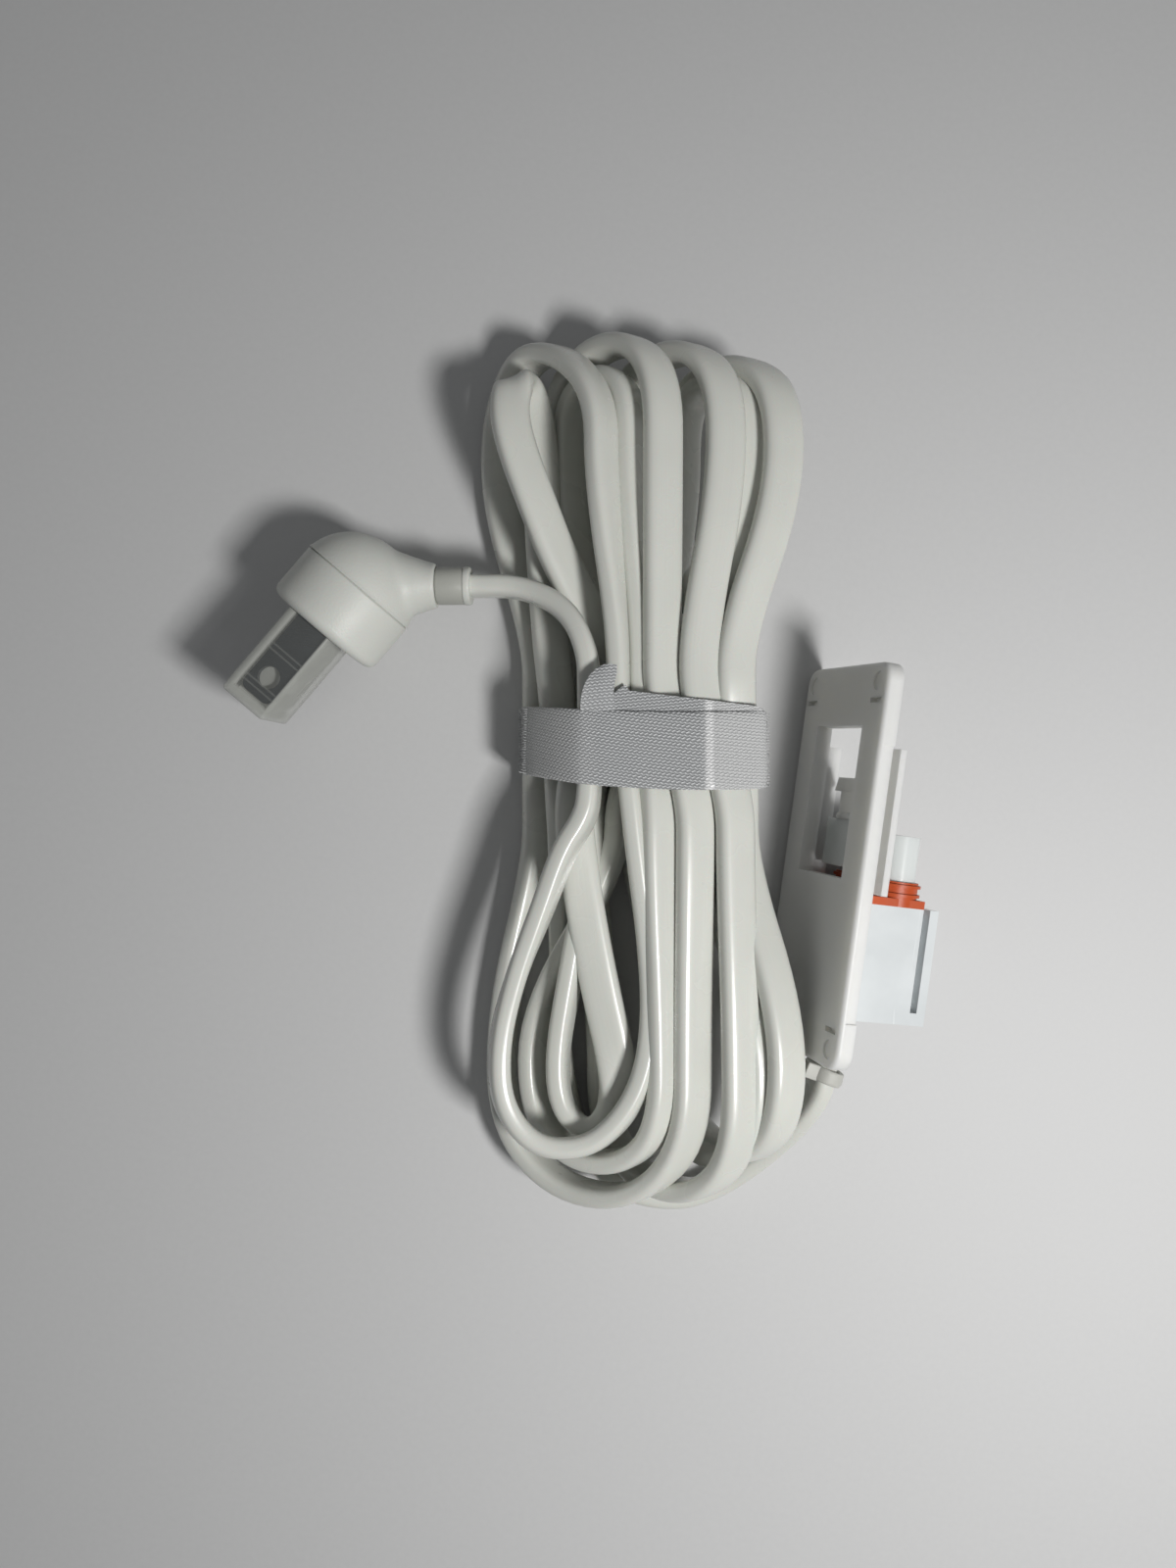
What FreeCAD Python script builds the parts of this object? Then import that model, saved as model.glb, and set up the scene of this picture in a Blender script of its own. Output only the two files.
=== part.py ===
import FreeCAD, Part
import math
import os
import re

# A mains supply lead: a two-blade plug with its blade cover, a flat two-core cord wound into a
# tied hank, and a slide-on power connector on a bracket. Millimetres, +Z up. The bracket runs
# along Y and leans on its terminal box; the origin is under the middle of bracket and box.

Vec = FreeCAD.Vector
Turn = FreeCAD.Rotation
doc = FreeCAD.newDocument("supply_lead")
sheet = doc.addObject("Spreadsheet::Sheet", "sizes")

DRIVING = {
    # bracket plate; its depth runs back from the front face
    "plate_length": 70.0, "plate_width": 30.0, "plate_thick": 3.0, "plate_corner": 3.2,
    "front_round": 0.8, "window_start": 32.2, "window_length": 26.8, "window_width": 16.5,
    "edge_recess": 0.5, "edge_front": 0.9, "pad_near": 8.4, "pad_far": 14.2,
    "dimple_radius": 1.65, "dimple_inset": 3.3, "dimple_depth": 0.35,
    "slot_inset": 6.6, "slot_height": 3.6, "slot_width": 0.9, "slot_depth": 1.2,
    "rail_start": 30.4, "rail_length": 25.2, "rail_gap": 1.9, "rail_lip": 1.2,
    "rail_web": 1.2, "rail_inset": 1.2, "rail_height": 3.3,
    # terminal box on the back of the plate, and its lid
    "box_start": 8.3, "box_length": 20.4, "box_width": 21.0, "box_depth": 12.6, "box_wall": 1.4,
    "box_floor": 0.9, "lid_gap": 1.3, "lid_thick": 1.7, "lid_inset": 2.2, "lid_fit": 0.15,
    "lid_spigot": 1.6,
    # connector nose with its two contacts
    "nose_length": 12.3, "nose_width": 20.0, "nose_round": 3.4, "nose_behind": 4.1,
    "contact_spacing": 10.0, "contact_bore": 1.2, "contact_wall": 0.45, "contact_fit": 0.08,
    "contact_length": 13.5, "contact_sink": 1.0, "contact_reach": 9.0,
    # orange seal round the root of the nose
    "seal_flange": 1.4, "seal_collar": 2.9, "seal_wall": 0.6, "seal_rib": 0.45, "seal_fit": 0.05,
    "seal_margin": 0.3, "seal_rib_width": 0.5, "seal_rib_inset": 0.4,
    # latch in front of the nose, seen through the window
    "latch_start": 34.0, "latch_seat": 8.7, "latch_seat_width": 15.0, "latch_front": 1.2,
    "latch_merge": 0.5, "latch_knuckle": 1.0, "latch_fit": 0.1, "latch_ahead": 0.3,
    "latch_neck": 4.6, "latch_neck_thick": 1.2, "latch_neck_width": 9.0,
    "latch_head": 2.5, "latch_head_thick": 2.1, "latch_head_width": 12.6, "latch_tip_thick": 1.15,
    "latch_tip_inset": 0.9,
    # flat cord and its round stand-in, with the parts that hold it at the bracket
    "cord_width": 7.0, "cord_thick": 3.8, "cord_round": 4.4, "cord_fit": 0.1, "cord_depth": 2.3,
    "channel_wall": 1.0, "channel_start": 0.6, "cord_stub": 4.8, "core_radius": 0.95, "core_fit": 0.05,
    "core_spacing": 3.2, "clamp_length": 2.4, "clamp_wall": 1.2,
    "tie_width": 2.5, "tie_thick": 0.9, "tie_gap": 0.6, "tie_head_width": 4.2,
    "tie_head_depth": 3.4, "tie_head_run": 3.7, "tie_head_wrap": 1.2, "tie_head_drop": 1.4,
    # plug
    "plug_height": 15.0, "base_radius": 11.1, "base_length": 10.2, "base_round": 1.5,
    "base_floor": 2.6, "base_wall": 2.2, "dome_length": 9.4, "dome_wall": 1.6, "plug_fit": 0.1,
    "holder_length": 5.4, "blade_spacing": 12.7, "blade_width": 6.35, "blade_thick": 1.5,
    "blade_length": 16.0, "blade_hole": 2.0, "blade_hole_inset": 4.1, "blade_tip": 1.4,
    "arm_angle": 49.45, "arm_rise": 0.35, "arm_root": 5.0, "arm_root_width": 11.0,
    "arm_root_height": 12.4, "arm_length": 13.75, "arm_width": 7.8, "arm_height": 10.4,
    "sleeve_sink": 2.4, "sleeve_length": 5.0, "sleeve_width": 6.5, "sleeve_height": 9.4,
    "sleeve_step": 0.6, "lip_length": 1.2, "lip_step": 0.2, "stub_out": 0.8,
    "crimp_radius": 1.5, "crimp_length": 3.5,
    # blade cover
    "cover_length": 18.3, "cover_width": 8.4, "cover_height": 16.4, "cover_wall": 0.9,
    "cover_round": 0.8, "cover_line": 0.2, "cover_line_width": 0.35, "cover_line_pitch": 1.0,
    "cover_first": 6.4, "cover_second": 13.3,
    # hank
    "hank_yaw": 7.85, "hank_back": 51.73, "hank_ahead": 7.5, "waist_middle": 6.4,
    "waist_half": 8.0, "waist_low": 3.9, "waist_row": 5.7, "waist_settle": 0.4, "waist_lift": 0.8,
    "table_lift": 2.3,
    # strap round the waist of the hank
    "strap_width": 15.0, "strap_thick": 1.2, "strap_fit": 0.3, "tab_width": 5.6, "tab_length": 6.4,
    # how far a cutting tool or a root reaches past the face that it meets
    "cut_past": 1.0,
}
for row, (name, value) in enumerate(DRIVING.items(), 1):
    sheet.set("A%d" % row, name)
    sheet.set("B%d" % row, str(value))
    sheet.setAlias("B%d" % row, name)
doc.recompute()


def size(name):
    return float(getattr(sheet, name))


def cells(text):
    """The expression in which each size's own name stands for its cell."""
    return re.sub(r"\b([a-z]+(?:_[a-z]+)+)\b", r"sizes.\1", "(%s)" % text)


def bind(obj, **values):
    for prop, text in values.items():
        obj.setExpression(prop, cells(text))
    return obj


def put(obj, place, turn=None):
    if turn:
        obj.Placement = FreeCAD.Placement(Vec(0, 0, 0), turn)
    for axis, text in zip("xyz", place):
        obj.setExpression("Placement.Base." + axis, cells(text))
    return obj


ALONG_X = Turn(Vec(0, 1, 0), 90)
ALONG_Y = Turn(Vec(1, 0, 0), -90)


def block(name, place, span):
    obj = bind(doc.addObject("Part::Box", name), Length=span[0], Width=span[1], Height=span[2])
    return put(obj, place)


def rod(name, place, radius, length, turn=None):
    obj = bind(doc.addObject("Part::Cylinder", name), Radius=radius, Height=length)
    return put(obj, place, turn)


def fuse(name, *parts):
    obj = doc.addObject("Part::MultiFuse", name)
    obj.Shapes = list(parts)
    return obj


def cut(name, base, *tools):
    obj = doc.addObject("Part::Cut", name)
    obj.Base = base
    obj.Tool = tools[0] if len(tools) == 1 else fuse(name + "_tools", *tools)
    return obj


def oval(name, place, width, thick, length):
    """A stadium along Y from the middle of its end, thick across X and wide across Z."""
    x, y, z = place
    flat = "(%s - (%s))" % (width, thick)
    middle = block(name + "_middle", ("%s - (%s) / 2" % (x, thick), y, "%s - %s / 2" % (z, flat)),
                   (thick, length, flat))
    ends = [rod("%s_end_%s" % (name, sign), (x, y, "%s %s %s / 2" % (z, sign_text, flat)),
                "(%s) / 2" % thick, length, ALONG_Y)
            for sign, sign_text in (("low", "-"), ("high", "+"))]
    return fuse(name, middle, *ends)


def round_edges(name, base, radius, wanted):
    """Rounds the edges of base for which wanted(edge's box) holds."""
    doc.recompute()
    obj = doc.addObject("Part::Fillet", name)
    obj.Base = base
    obj.Edges = [(i, radius, radius) for i, edge in enumerate(base.Shape.Edges, 1) if wanted(edge.BoundBox)]
    return obj


NEAR = 1e-4
pieces = {}


def piece(label, obj, where):
    """Sets a finished sub-part in its place under its own name."""
    doc.recompute()
    obj.Placement = where.multiply(obj.Placement)
    obj.Label = label
    pieces[label] = obj
    return obj


# Bracket pieces are drawn upright, X from the plate's front to its back, Y along it and Z up its
# width, then leaned until the lid's lower edge meets the table.
BOX_LOW = "(plate_width - box_width) / 2"
BOX_BACK = "plate_thick + box_depth"
BOX_END = "box_start + box_length"
MIDDLE = "plate_width / 2"
NOSE_DEPTH = "box_depth - nose_behind"
NOSE_X = "plate_thick + " + NOSE_DEPTH
CORD_X = "plate_thick + cord_depth"

lid_back = size("plate_thick") + size("box_depth") + size("lid_gap") + size("lid_thick")
box_low = (size("plate_width") - size("box_width")) / 2
lean = math.atan2(box_low, lid_back - size("plate_thick"))
lean_turn = Turn(Vec(0, 1, 0), math.degrees(lean))
front_x = size("front_round") * (math.cos(lean) + math.sin(lean) - 1)
back_x = lean_turn.multVec(Vec(lid_back, 0, box_low + size("box_width"))).x
BRACKET = FreeCAD.Placement(
    Vec(-(front_x + back_x) / 2, -size("plate_length") / 2, size("plate_thick") * math.sin(lean)), lean_turn)

# The hank lies along its own Y axis, turned a little from the bracket's.
HANK = FreeCAD.Placement(Vec(-size("hank_back"), size("hank_ahead"), 0), Turn(Vec(0, 0, 1), size("hank_yaw")))


# Bracket plate: rounded slab, then window, recessed edges, corner dimples and slots, and rails
slab = block("plate_slab", ("0", "0", "0"), ("plate_thick", "plate_length", "plate_width"))
slab = round_edges("plate_corners", slab, size("plate_corner"),
                   lambda box: box.YLength < NEAR and box.ZLength < NEAR)
slab = round_edges("plate_front", slab, size("front_round"), lambda box: box.XMax < NEAR)
window = block("window", ("-cut_past", "window_start", MIDDLE + " - window_width / 2"),
               ("plate_thick + 2 * cut_past", "window_length", "window_width"))
recess_span = ("plate_thick", "plate_length - pad_near - pad_far", "edge_recess + cut_past")
recesses = [block("recess_low", ("edge_front", "pad_near", "-cut_past"), recess_span),
            block("recess_high", ("edge_front", "pad_near", "plate_width - edge_recess"), recess_span)]
dimples, slots = [], []
for across, z in (("low", "%s"), ("high", "plate_width - %s")):
    for along, y in (("near", "%s"), ("far", "plate_length - %s")):
        dimples.append(rod("dimple_%s_%s" % (across, along),
                           ("-cut_past", y % "dimple_inset", z % "dimple_inset"), "dimple_radius",
                           "cut_past + dimple_depth", ALONG_X))
        slots.append(block("slot_%s_%s" % (across, along),
                           ("-cut_past", (y % "slot_inset") + " - slot_width / 2",
                            (z % "dimple_inset") + " - slot_height / 2"),
                           ("cut_past + slot_depth", "slot_width", "slot_height")))
rails = []
for across, web_z, lip_z in (
        ("low", "rail_inset + rail_height", "rail_inset"),
        ("high", "plate_width - rail_inset - rail_height - rail_web", "plate_width - rail_inset - rail_height")):
    rails.append(block("rail_web_" + across, ("plate_thick - edge_recess", "rail_start", web_z),
                       ("edge_recess + rail_gap + rail_lip", "rail_length", "rail_web")))
    rails.append(block("rail_lip_" + across, ("plate_thick + rail_gap", "rail_start", lip_z),
                       ("rail_lip", "rail_length", "rail_height")))
plate = fuse("plate_and_rails", cut("plate_cut", slab, window, *recesses, *dimples, *slots), *rails)
piece("bracket_plate", plate, BRACKET)

# Terminal box: open-backed box with the cord channel at one end and the contacts' way at the other
CORD_START = "-cord_stub"
CORD_IN = "box_start + box_wall + clamp_length"
WAY_WIDTH, WAY_THICK = "cord_width + 2 * cord_fit", "cord_thick + 2 * cord_fit"
cord_bore = oval("cord_way", (CORD_X, "-cut_past", MIDDLE), WAY_WIDTH, WAY_THICK, CORD_IN + " + cut_past")
box_shell = block("box_shell", ("plate_thick", "box_start", BOX_LOW), ("box_depth", "box_length", "box_width"))
CHANNEL_WIDTH = "cord_width + 2 * channel_wall"
channel = block("channel", ("plate_thick", "channel_start", MIDDLE + " - (%s) / 2" % CHANNEL_WIDTH),
                ("cord_depth + cord_thick / 2 + channel_wall", "box_start - channel_start", CHANNEL_WIDTH))
hollow = block("box_hollow", ("plate_thick + box_floor", "box_start + box_wall", BOX_LOW + " + box_wall"),
               ("box_depth", "box_length - 2 * box_wall", "box_width - 2 * box_wall"))
CONTACT_Z = {"low": MIDDLE + " - contact_spacing / 2", "high": MIDDLE + " + contact_spacing / 2"}
CONTACT_START = BOX_END + " + nose_length - contact_sink - contact_length"
CONTACT_WAY = "contact_bore + contact_wall + contact_fit"
contact_ways = [rod("contact_way_" + side, (NOSE_X, CONTACT_START, z), CONTACT_WAY, "contact_length", ALONG_Y)
                for side, z in CONTACT_Z.items()]
piece("terminal_housing", cut("box", fuse("box_and_channel", box_shell, channel), hollow, cord_bore,
                              fuse("box_contact_ways", *contact_ways)), BRACKET)

# Lid: outer sheet on a narrower step, which leaves a groove each side, and a spigot in the box
lid = fuse(
    "lid",
    block("lid_sheet", (BOX_BACK + " + lid_gap", "box_start", BOX_LOW), ("lid_thick", "box_length", "box_width")),
    block("lid_step", (BOX_BACK, "box_start", BOX_LOW + " + lid_inset"),
          ("lid_gap", "box_length", "box_width - 2 * lid_inset")),
    block("lid_end", (BOX_BACK, "box_start", BOX_LOW), ("lid_gap", "lid_inset", "box_width")),
    block("lid_spigot_block",
          (BOX_BACK + " - lid_spigot", "box_start + box_wall + lid_fit", BOX_LOW + " + box_wall + lid_fit"),
          ("lid_spigot", "box_length - 2 * (box_wall + lid_fit)", "box_width - 2 * (box_wall + lid_fit)")))
piece("housing_cover", lid, BRACKET)

# Connector nose with the latch's seat on its plate side
nose = fuse(
    "nose_and_seat",
    oval("nose", (NOSE_X, BOX_END, MIDDLE), "nose_width", "2 * nose_round", "nose_length"),
    block("latch_seat_block", ("plate_thick + latch_front", "latch_start", MIDDLE + " - latch_seat_width / 2"),
          (NOSE_DEPTH + " - nose_round - latch_front + latch_merge", "latch_seat", "latch_seat_width")))
KNUCKLE = ("plate_thick + latch_front + latch_knuckle", "latch_start + latch_seat + latch_ahead")
knuckle_way = rod("knuckle_way", (*KNUCKLE, MIDDLE + " - latch_seat_width / 2 - cut_past"),
                  "latch_knuckle + latch_fit", "latch_seat_width + 2 * cut_past")
nose_ways = [rod("nose_way_" + side, (NOSE_X, CONTACT_START, z), CONTACT_WAY, "contact_length", ALONG_Y)
             for side, z in CONTACT_Z.items()]
mouths = [rod("mouth_" + side, (NOSE_X, CONTACT_START, z), "contact_bore + contact_fit",
              "contact_length + contact_sink + cut_past", ALONG_Y) for side, z in CONTACT_Z.items()]
nose = cut("nose_cut", nose, knuckle_way, fuse("nose_ways", *nose_ways), fuse("mouths", *mouths))
piece("connector_nose", nose, BRACKET)

# Contacts: bored towards the mouth, solid where they grip their cores
for number, (side, z) in enumerate(CONTACT_Z.items(), 1):
    contact = cut("contact_cut_" + side,
                  rod("contact_body_" + side, (NOSE_X, CONTACT_START, z), "contact_bore + contact_wall",
                      "contact_length", ALONG_Y),
                  rod("contact_hole_" + side, (NOSE_X, CONTACT_START + " + contact_length - contact_reach", z),
                      "contact_bore", "contact_reach + cut_past", ALONG_Y))
    piece("contact_socket_%d" % number, contact, BRACKET)

# Seal: flat flange behind the nose's root, a collar round the nose and two ribs on it
seal_out = "2 * (seal_fit + seal_wall)"
collar = oval("seal_collar_body", (NOSE_X, BOX_END, MIDDLE), "nose_width + " + seal_out,
              "2 * nose_round + " + seal_out, "seal_flange + seal_collar")
flange = block("seal_flange_sheet", ("plate_thick + seal_margin", BOX_END, BOX_LOW),
               ("box_depth - seal_margin", "seal_flange", "box_width"))
ribs = [oval("seal_rib_" + which, (NOSE_X, BOX_END + " + seal_flange + " + along, MIDDLE),
             "nose_width + %s + 2 * seal_rib" % seal_out, "2 * nose_round + %s + 2 * seal_rib" % seal_out,
             "seal_rib_width")
        for which, along in (("back", "seal_rib_inset"),
                             ("front", "seal_collar - seal_rib_width - seal_rib_inset"))]
seal_bore = oval("seal_bore", (NOSE_X, BOX_END + " - cut_past", MIDDLE), "nose_width + 2 * seal_fit",
                 "2 * nose_round + 2 * seal_fit", "seal_flange + seal_collar + 2 * cut_past")
piece("sealing_gasket", cut("seal", fuse("seal_solid", collar, flange, *ribs), seal_bore), BRACKET)

# Latch: knuckle in its seat, neck, and a head whose front edge is chamfered
latch_head = doc.addObject("Part::Wedge", "latch_head_wedge")
bind(latch_head, Xmin="0", Xmax="latch_head_thick", X2min="0", X2max="latch_tip_thick",
     Ymin="0", Ymax="latch_head", Zmin="0", Zmax="latch_head_width",
     Z2min="latch_tip_inset", Z2max="latch_head_width - latch_tip_inset")
put(latch_head,
    (KNUCKLE[0] + " - latch_knuckle", KNUCKLE[1] + " + latch_neck", MIDDLE + " - latch_head_width / 2"))
latch = fuse(
    "latch",
    rod("knuckle", (*KNUCKLE, MIDDLE + " - latch_neck_width / 2"), "latch_knuckle", "latch_neck_width"),
    block("latch_neck_bar",
          (KNUCKLE[0] + " - latch_neck_thick / 2", KNUCKLE[1], MIDDLE + " - latch_neck_width / 2"),
          ("latch_neck_thick", "latch_neck", "latch_neck_width")),
    latch_head)
piece("latch_hook", latch, BRACKET)

# The cord's flat end in the channel, its clamp in the box, and the nylon tie outside
piece("module_cord_end", oval("cord_end_oval", (CORD_X, CORD_START, MIDDLE), "cord_width", "cord_thick",
                              "cord_stub + " + CORD_IN), BRACKET)
clamp = cut("clamp_cut",
            block("clamp_block", ("plate_thick + box_floor", "box_start + box_wall",
                                  MIDDLE + " - cord_width / 2 - clamp_wall"),
                  ("cord_depth + cord_thick / 2 + clamp_wall - box_floor", "clamp_length",
                   "cord_width + 2 * clamp_wall")),
            oval("clamp_bore", (CORD_X, "box_start", MIDDLE), WAY_WIDTH, WAY_THICK,
                 "box_wall + clamp_length + cut_past"))
piece("cord_clamp", clamp, BRACKET)
TIE_OUT = "2 * (cord_fit + tie_thick)"
tie_start = "-tie_gap - tie_width"
tie_band = oval("tie_band", (CORD_X, tie_start, MIDDLE), "cord_width + " + TIE_OUT, "cord_thick + " + TIE_OUT,
                "tie_width")
tie_head = block("tie_head", (CORD_X + " - cord_thick / 2 - tie_head_depth + tie_head_wrap",
                              "-tie_gap - tie_head_run",
                              MIDDLE + " - cord_width / 2 - tie_thick - tie_head_drop"),
                 ("tie_head_depth", "tie_head_run", "tie_head_width"))
tie_bore = oval("tie_bore", (CORD_X, "-cord_stub - cut_past", MIDDLE), WAY_WIDTH, WAY_THICK,
                "cord_stub + 2 * cut_past")
piece("cable_tie", cut("tie", fuse("tie_solid", tie_band, tie_head), tie_bore), BRACKET)


# Plug: X runs from its front face to its back, and its blades point the other way
arm_turn = Turn(Vec(0, 0, 1), -size("arm_angle"))
lead_exit = Vec(-20.2, 35.6, size("plug_height"))
arm_start = Vec(size("base_length") + size("arm_rise"), 0, 0)
exit_run = size("arm_length") + size("sleeve_length") + size("lip_length") + size("stub_out")
exit_local = arm_start + arm_turn.multVec(Vec(exit_run, 0, 0))
plug_turn = Turn(Vec(0, 0, 1), size("arm_angle"))
PLUG = HANK.multiply(FreeCAD.Placement(lead_exit - plug_turn.multVec(exit_local), plug_turn))
ARM_BASE = ("base_length + arm_rise", "0", "0")
ARM = PLUG.multiply(FreeCAD.Placement(arm_start, arm_turn))


def on_arm(obj):
    """Sets what is drawn along X from the arm's start in the arm's own direction."""
    return put(obj, ARM_BASE, arm_turn)


def upright_oval(name, start, width, height, length):
    """A stadium along X, wide across Y and high across Z."""
    middle = block(name + "_middle", (start, "-(%s) / 2" % width, "-(%s - (%s)) / 2" % (height, width)),
                   (length, width, "%s - (%s)" % (height, width)))
    ends = [rod("%s_end_%s" % (name, sign), (start, "0", "%s(%s - (%s)) / 2" % (mark, height, width)),
                "(%s) / 2" % width, length, ALONG_X) for sign, mark in (("low", "-"), ("high", ""))]
    return fuse(name, middle, *ends)


BASE_BORE = "base_radius - base_wall"
blade_z = {"low": "-blade_spacing / 2", "high": "blade_spacing / 2"}
base_body = rod("base_body", ("0", "0", "0"), "base_radius", "base_length", ALONG_X)
base_body = round_edges("base_rounded", base_body, size("base_round"), lambda box: box.XMax < NEAR)
blade_slots = [block("blade_slot_" + side,
                     ("-cut_past", "-blade_width / 2 - plug_fit", z + " - blade_thick / 2 - plug_fit"),
                     ("base_floor + 2 * cut_past", "blade_width + 2 * plug_fit", "blade_thick + 2 * plug_fit"))
               for side, z in blade_z.items()]
base_hollow = rod("base_hollow", ("base_floor", "0", "0"), BASE_BORE, "base_length", ALONG_X)
piece("plug_base", cut("base", base_body, base_hollow, *blade_slots), PLUG)

# Hood: a cap of a sphere beyond the seam, with the arm that carries the cord's sleeve
CAP_RADIUS = "((base_radius * base_radius + dome_length * dome_length) / (2 * dome_length))"
CAP_MIDDLE = "base_length + dome_length - " + CAP_RADIUS
cap = put(bind(doc.addObject("Part::Sphere", "cap"), Radius=CAP_RADIUS), (CAP_MIDDLE, "0", "0"))
cap_hollow = put(bind(doc.addObject("Part::Sphere", "cap_hollow"), Radius=CAP_RADIUS + " - dome_wall"),
                 (CAP_MIDDLE, "0", "0"))


def arm_section(name, along, width, height):
    ring = doc.addObject("Part::Ellipse", name)
    bind(ring, MajorRadius="(%s) / 2" % height, MinorRadius="(%s) / 2" % width)
    return put(ring, (along, "0", "0"), Turn(Vec(0, 1, 0), 90))


arm_loft = doc.addObject("Part::Loft", "arm_loft")
arm_loft.Sections = [arm_section("arm_root_ring", "arm_root", "arm_root_width", "arm_root_height"),
                     arm_section("arm_end_ring", "arm_length", "arm_width", "arm_height")]
arm_loft.Solid = True
arm_loft.Ruled = True
SLEEVE_IN_WIDTH = "sleeve_width - 2 * sleeve_step"
SLEEVE_IN_HEIGHT = "sleeve_height - 2 * sleeve_step"
arm_bore = upright_oval("arm_bore", "arm_root - cut_past", SLEEVE_IN_WIDTH + " + 2 * plug_fit",
                        SLEEVE_IN_HEIGHT + " + 2 * plug_fit", "arm_length")
in_front = block("before_seam", ("-2 * base_radius", "-2 * base_radius", "-2 * base_radius"),
                 ("2 * base_radius + base_length", "4 * base_radius", "4 * base_radius"))
hood = cut("hood", fuse("cap_and_arm", cap, on_arm(arm_loft)), in_front, cap_hollow, on_arm(arm_bore))
piece("plug_hood", hood, PLUG)

# Blade holder and blades, with their crimps behind it
HOLDER_END = "base_floor + holder_length"
holder_slots = [block("holder_slot_" + side,
                      ("base_floor - cut_past", "-blade_width / 2 - plug_fit", z + " - blade_thick / 2 - plug_fit"),
                      ("holder_length + 2 * cut_past", "blade_width + 2 * plug_fit", "blade_thick + 2 * plug_fit"))
                for side, z in blade_z.items()]
disc = rod("holder_disc", ("base_floor", "0", "0"), BASE_BORE + " - plug_fit", "holder_length", ALONG_X)
piece("blade_holder", cut("holder", disc, *holder_slots), PLUG)
for number, (side, z) in enumerate(blade_z.items(), 1):
    bar = block("blade_bar_" + side, ("-blade_length", "-blade_width / 2", z + " - blade_thick / 2"),
                ("blade_length + " + HOLDER_END, "blade_width", "blade_thick"))
    bar = round_edges("blade_nose_" + side, bar, size("blade_tip"),
                      lambda box: box.XLength < NEAR and box.YLength < NEAR and box.XMax < 0)
    hole = rod("blade_hole_" + side, ("blade_hole_inset - blade_length", "0", z + " - blade_thick"), "blade_hole",
               "2 * blade_thick")
    piece("blade_%d" % number, cut("blade_cut_" + side, bar, hole), PLUG)
    crimp = cut("crimp_" + side,
                rod("crimp_body_" + side, (HOLDER_END, "0", z), "crimp_radius", "crimp_length", ALONG_X),
                rod("crimp_bore_" + side, (HOLDER_END + " + crimp_length / 2", "0", z), "core_radius + core_fit",
                    "crimp_length", ALONG_X))
    piece("blade_crimp_%d" % number, crimp, PLUG)

# Sleeve: an oval plug in the arm's bore, the grip outside it and a lip at its end
cord_hole = upright_oval("sleeve_hole", "arm_length - sleeve_sink - cut_past", "cord_thick + 2 * cord_fit",
                         "cord_width + 2 * cord_fit", "sleeve_sink + sleeve_length + lip_length + 2 * cut_past")
sleeve = cut(
    "sleeve",
    fuse("sleeve_solid",
         upright_oval("sleeve_root", "arm_length - sleeve_sink", SLEEVE_IN_WIDTH, SLEEVE_IN_HEIGHT,
                      "sleeve_sink + cut_past"),
         upright_oval("sleeve_grip", "arm_length", "sleeve_width", "sleeve_height", "sleeve_length"),
         upright_oval("sleeve_lip", "arm_length + sleeve_length", "sleeve_width + 2 * lip_step",
                      "sleeve_height + 2 * lip_step", "lip_length")),
    cord_hole)
piece("plug_strain_relief", sleeve, ARM)
plug_cord = upright_oval("plug_cord", "arm_length - sleeve_sink", "cord_thick", "cord_width",
                         "sleeve_sink + sleeve_length + lip_length + stub_out")
piece("plug_cord_end", plug_cord, ARM)

# Blade cover: a thin rounded box, closed at its tip, with two pairs of raised lines round it
cover_box = block("cover_box", ("-cover_length - plug_fit", "-cover_width / 2", "-cover_height / 2"),
                  ("cover_length", "cover_width", "cover_height"))
tip_x = -size("cover_length") - size("plug_fit")
cover_box = round_edges("cover_rounded", cover_box, size("cover_round"),
                        lambda box: (box.XLength > 1 or box.XMax < tip_x + NEAR))
lines = [block("cover_line_%d" % number,
               ("-plug_fit - %s - cover_line_width" % along, "-cover_width / 2 - cover_line",
                "-cover_height / 2 - cover_line"),
               ("cover_line_width", "cover_width + 2 * cover_line", "cover_height + 2 * cover_line"))
         for number, along in enumerate(("cover_first", "cover_first + cover_line_pitch", "cover_second",
                                         "cover_second + cover_line_pitch"), 1)]
cover_hollow = block("cover_hollow", ("-cover_length - plug_fit + cover_wall", "-cover_width / 2 + cover_wall",
                                      "-cover_height / 2 + cover_wall"),
                     ("cover_length", "cover_width - 2 * cover_wall", "cover_height - 2 * cover_wall"))
piece("blade_cover", cut("cover", fuse("cover_solid", cover_box, *lines), cover_hollow), PLUG)


# Cords. A free stretch is straight runs joined by tangent arcs; a wound one is biarcs.
CORNER_SHARE = 0.45  # how much of the shorter run beside a corner its arc takes up
ARC_RISE = 1e-6  # a chord that rises less than this from its heading is a straight edge


def tube(path, radius, away):
    """A round tube swept along path, which starts with the direction away."""
    ring = Part.Wire(Part.makeCircle(radius, path.Edges[0].firstVertex().Point, away))
    return path.makePipeShell([ring], True, False)


def tangent_path(points):
    """Edges along points with an arc at each turn, and the arcs' radii."""
    edges, radii, last = [], [], points[0]
    for before, corner, after in zip(points, points[1:], points[2:]):
        come, go = (corner - before), (after - corner)
        share = CORNER_SHARE * min(come.Length, go.Length)
        come.normalize()
        go.normalize()
        half_turn = come.getAngle(go) / 2
        start, end = corner - come * share, corner + go * share
        radius = share / math.tan(half_turn)
        inward = go - come
        inward.normalize()
        middle = corner + inward * (radius / math.cos(half_turn) - radius)
        edges.append(Part.LineSegment(last, start).toShape())
        edges.append(Part.Arc(start, middle, end).toShape())
        radii.append(radius)
        last = end
    edges.append(Part.LineSegment(last, points[-1]).toShape())
    return edges, radii


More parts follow.
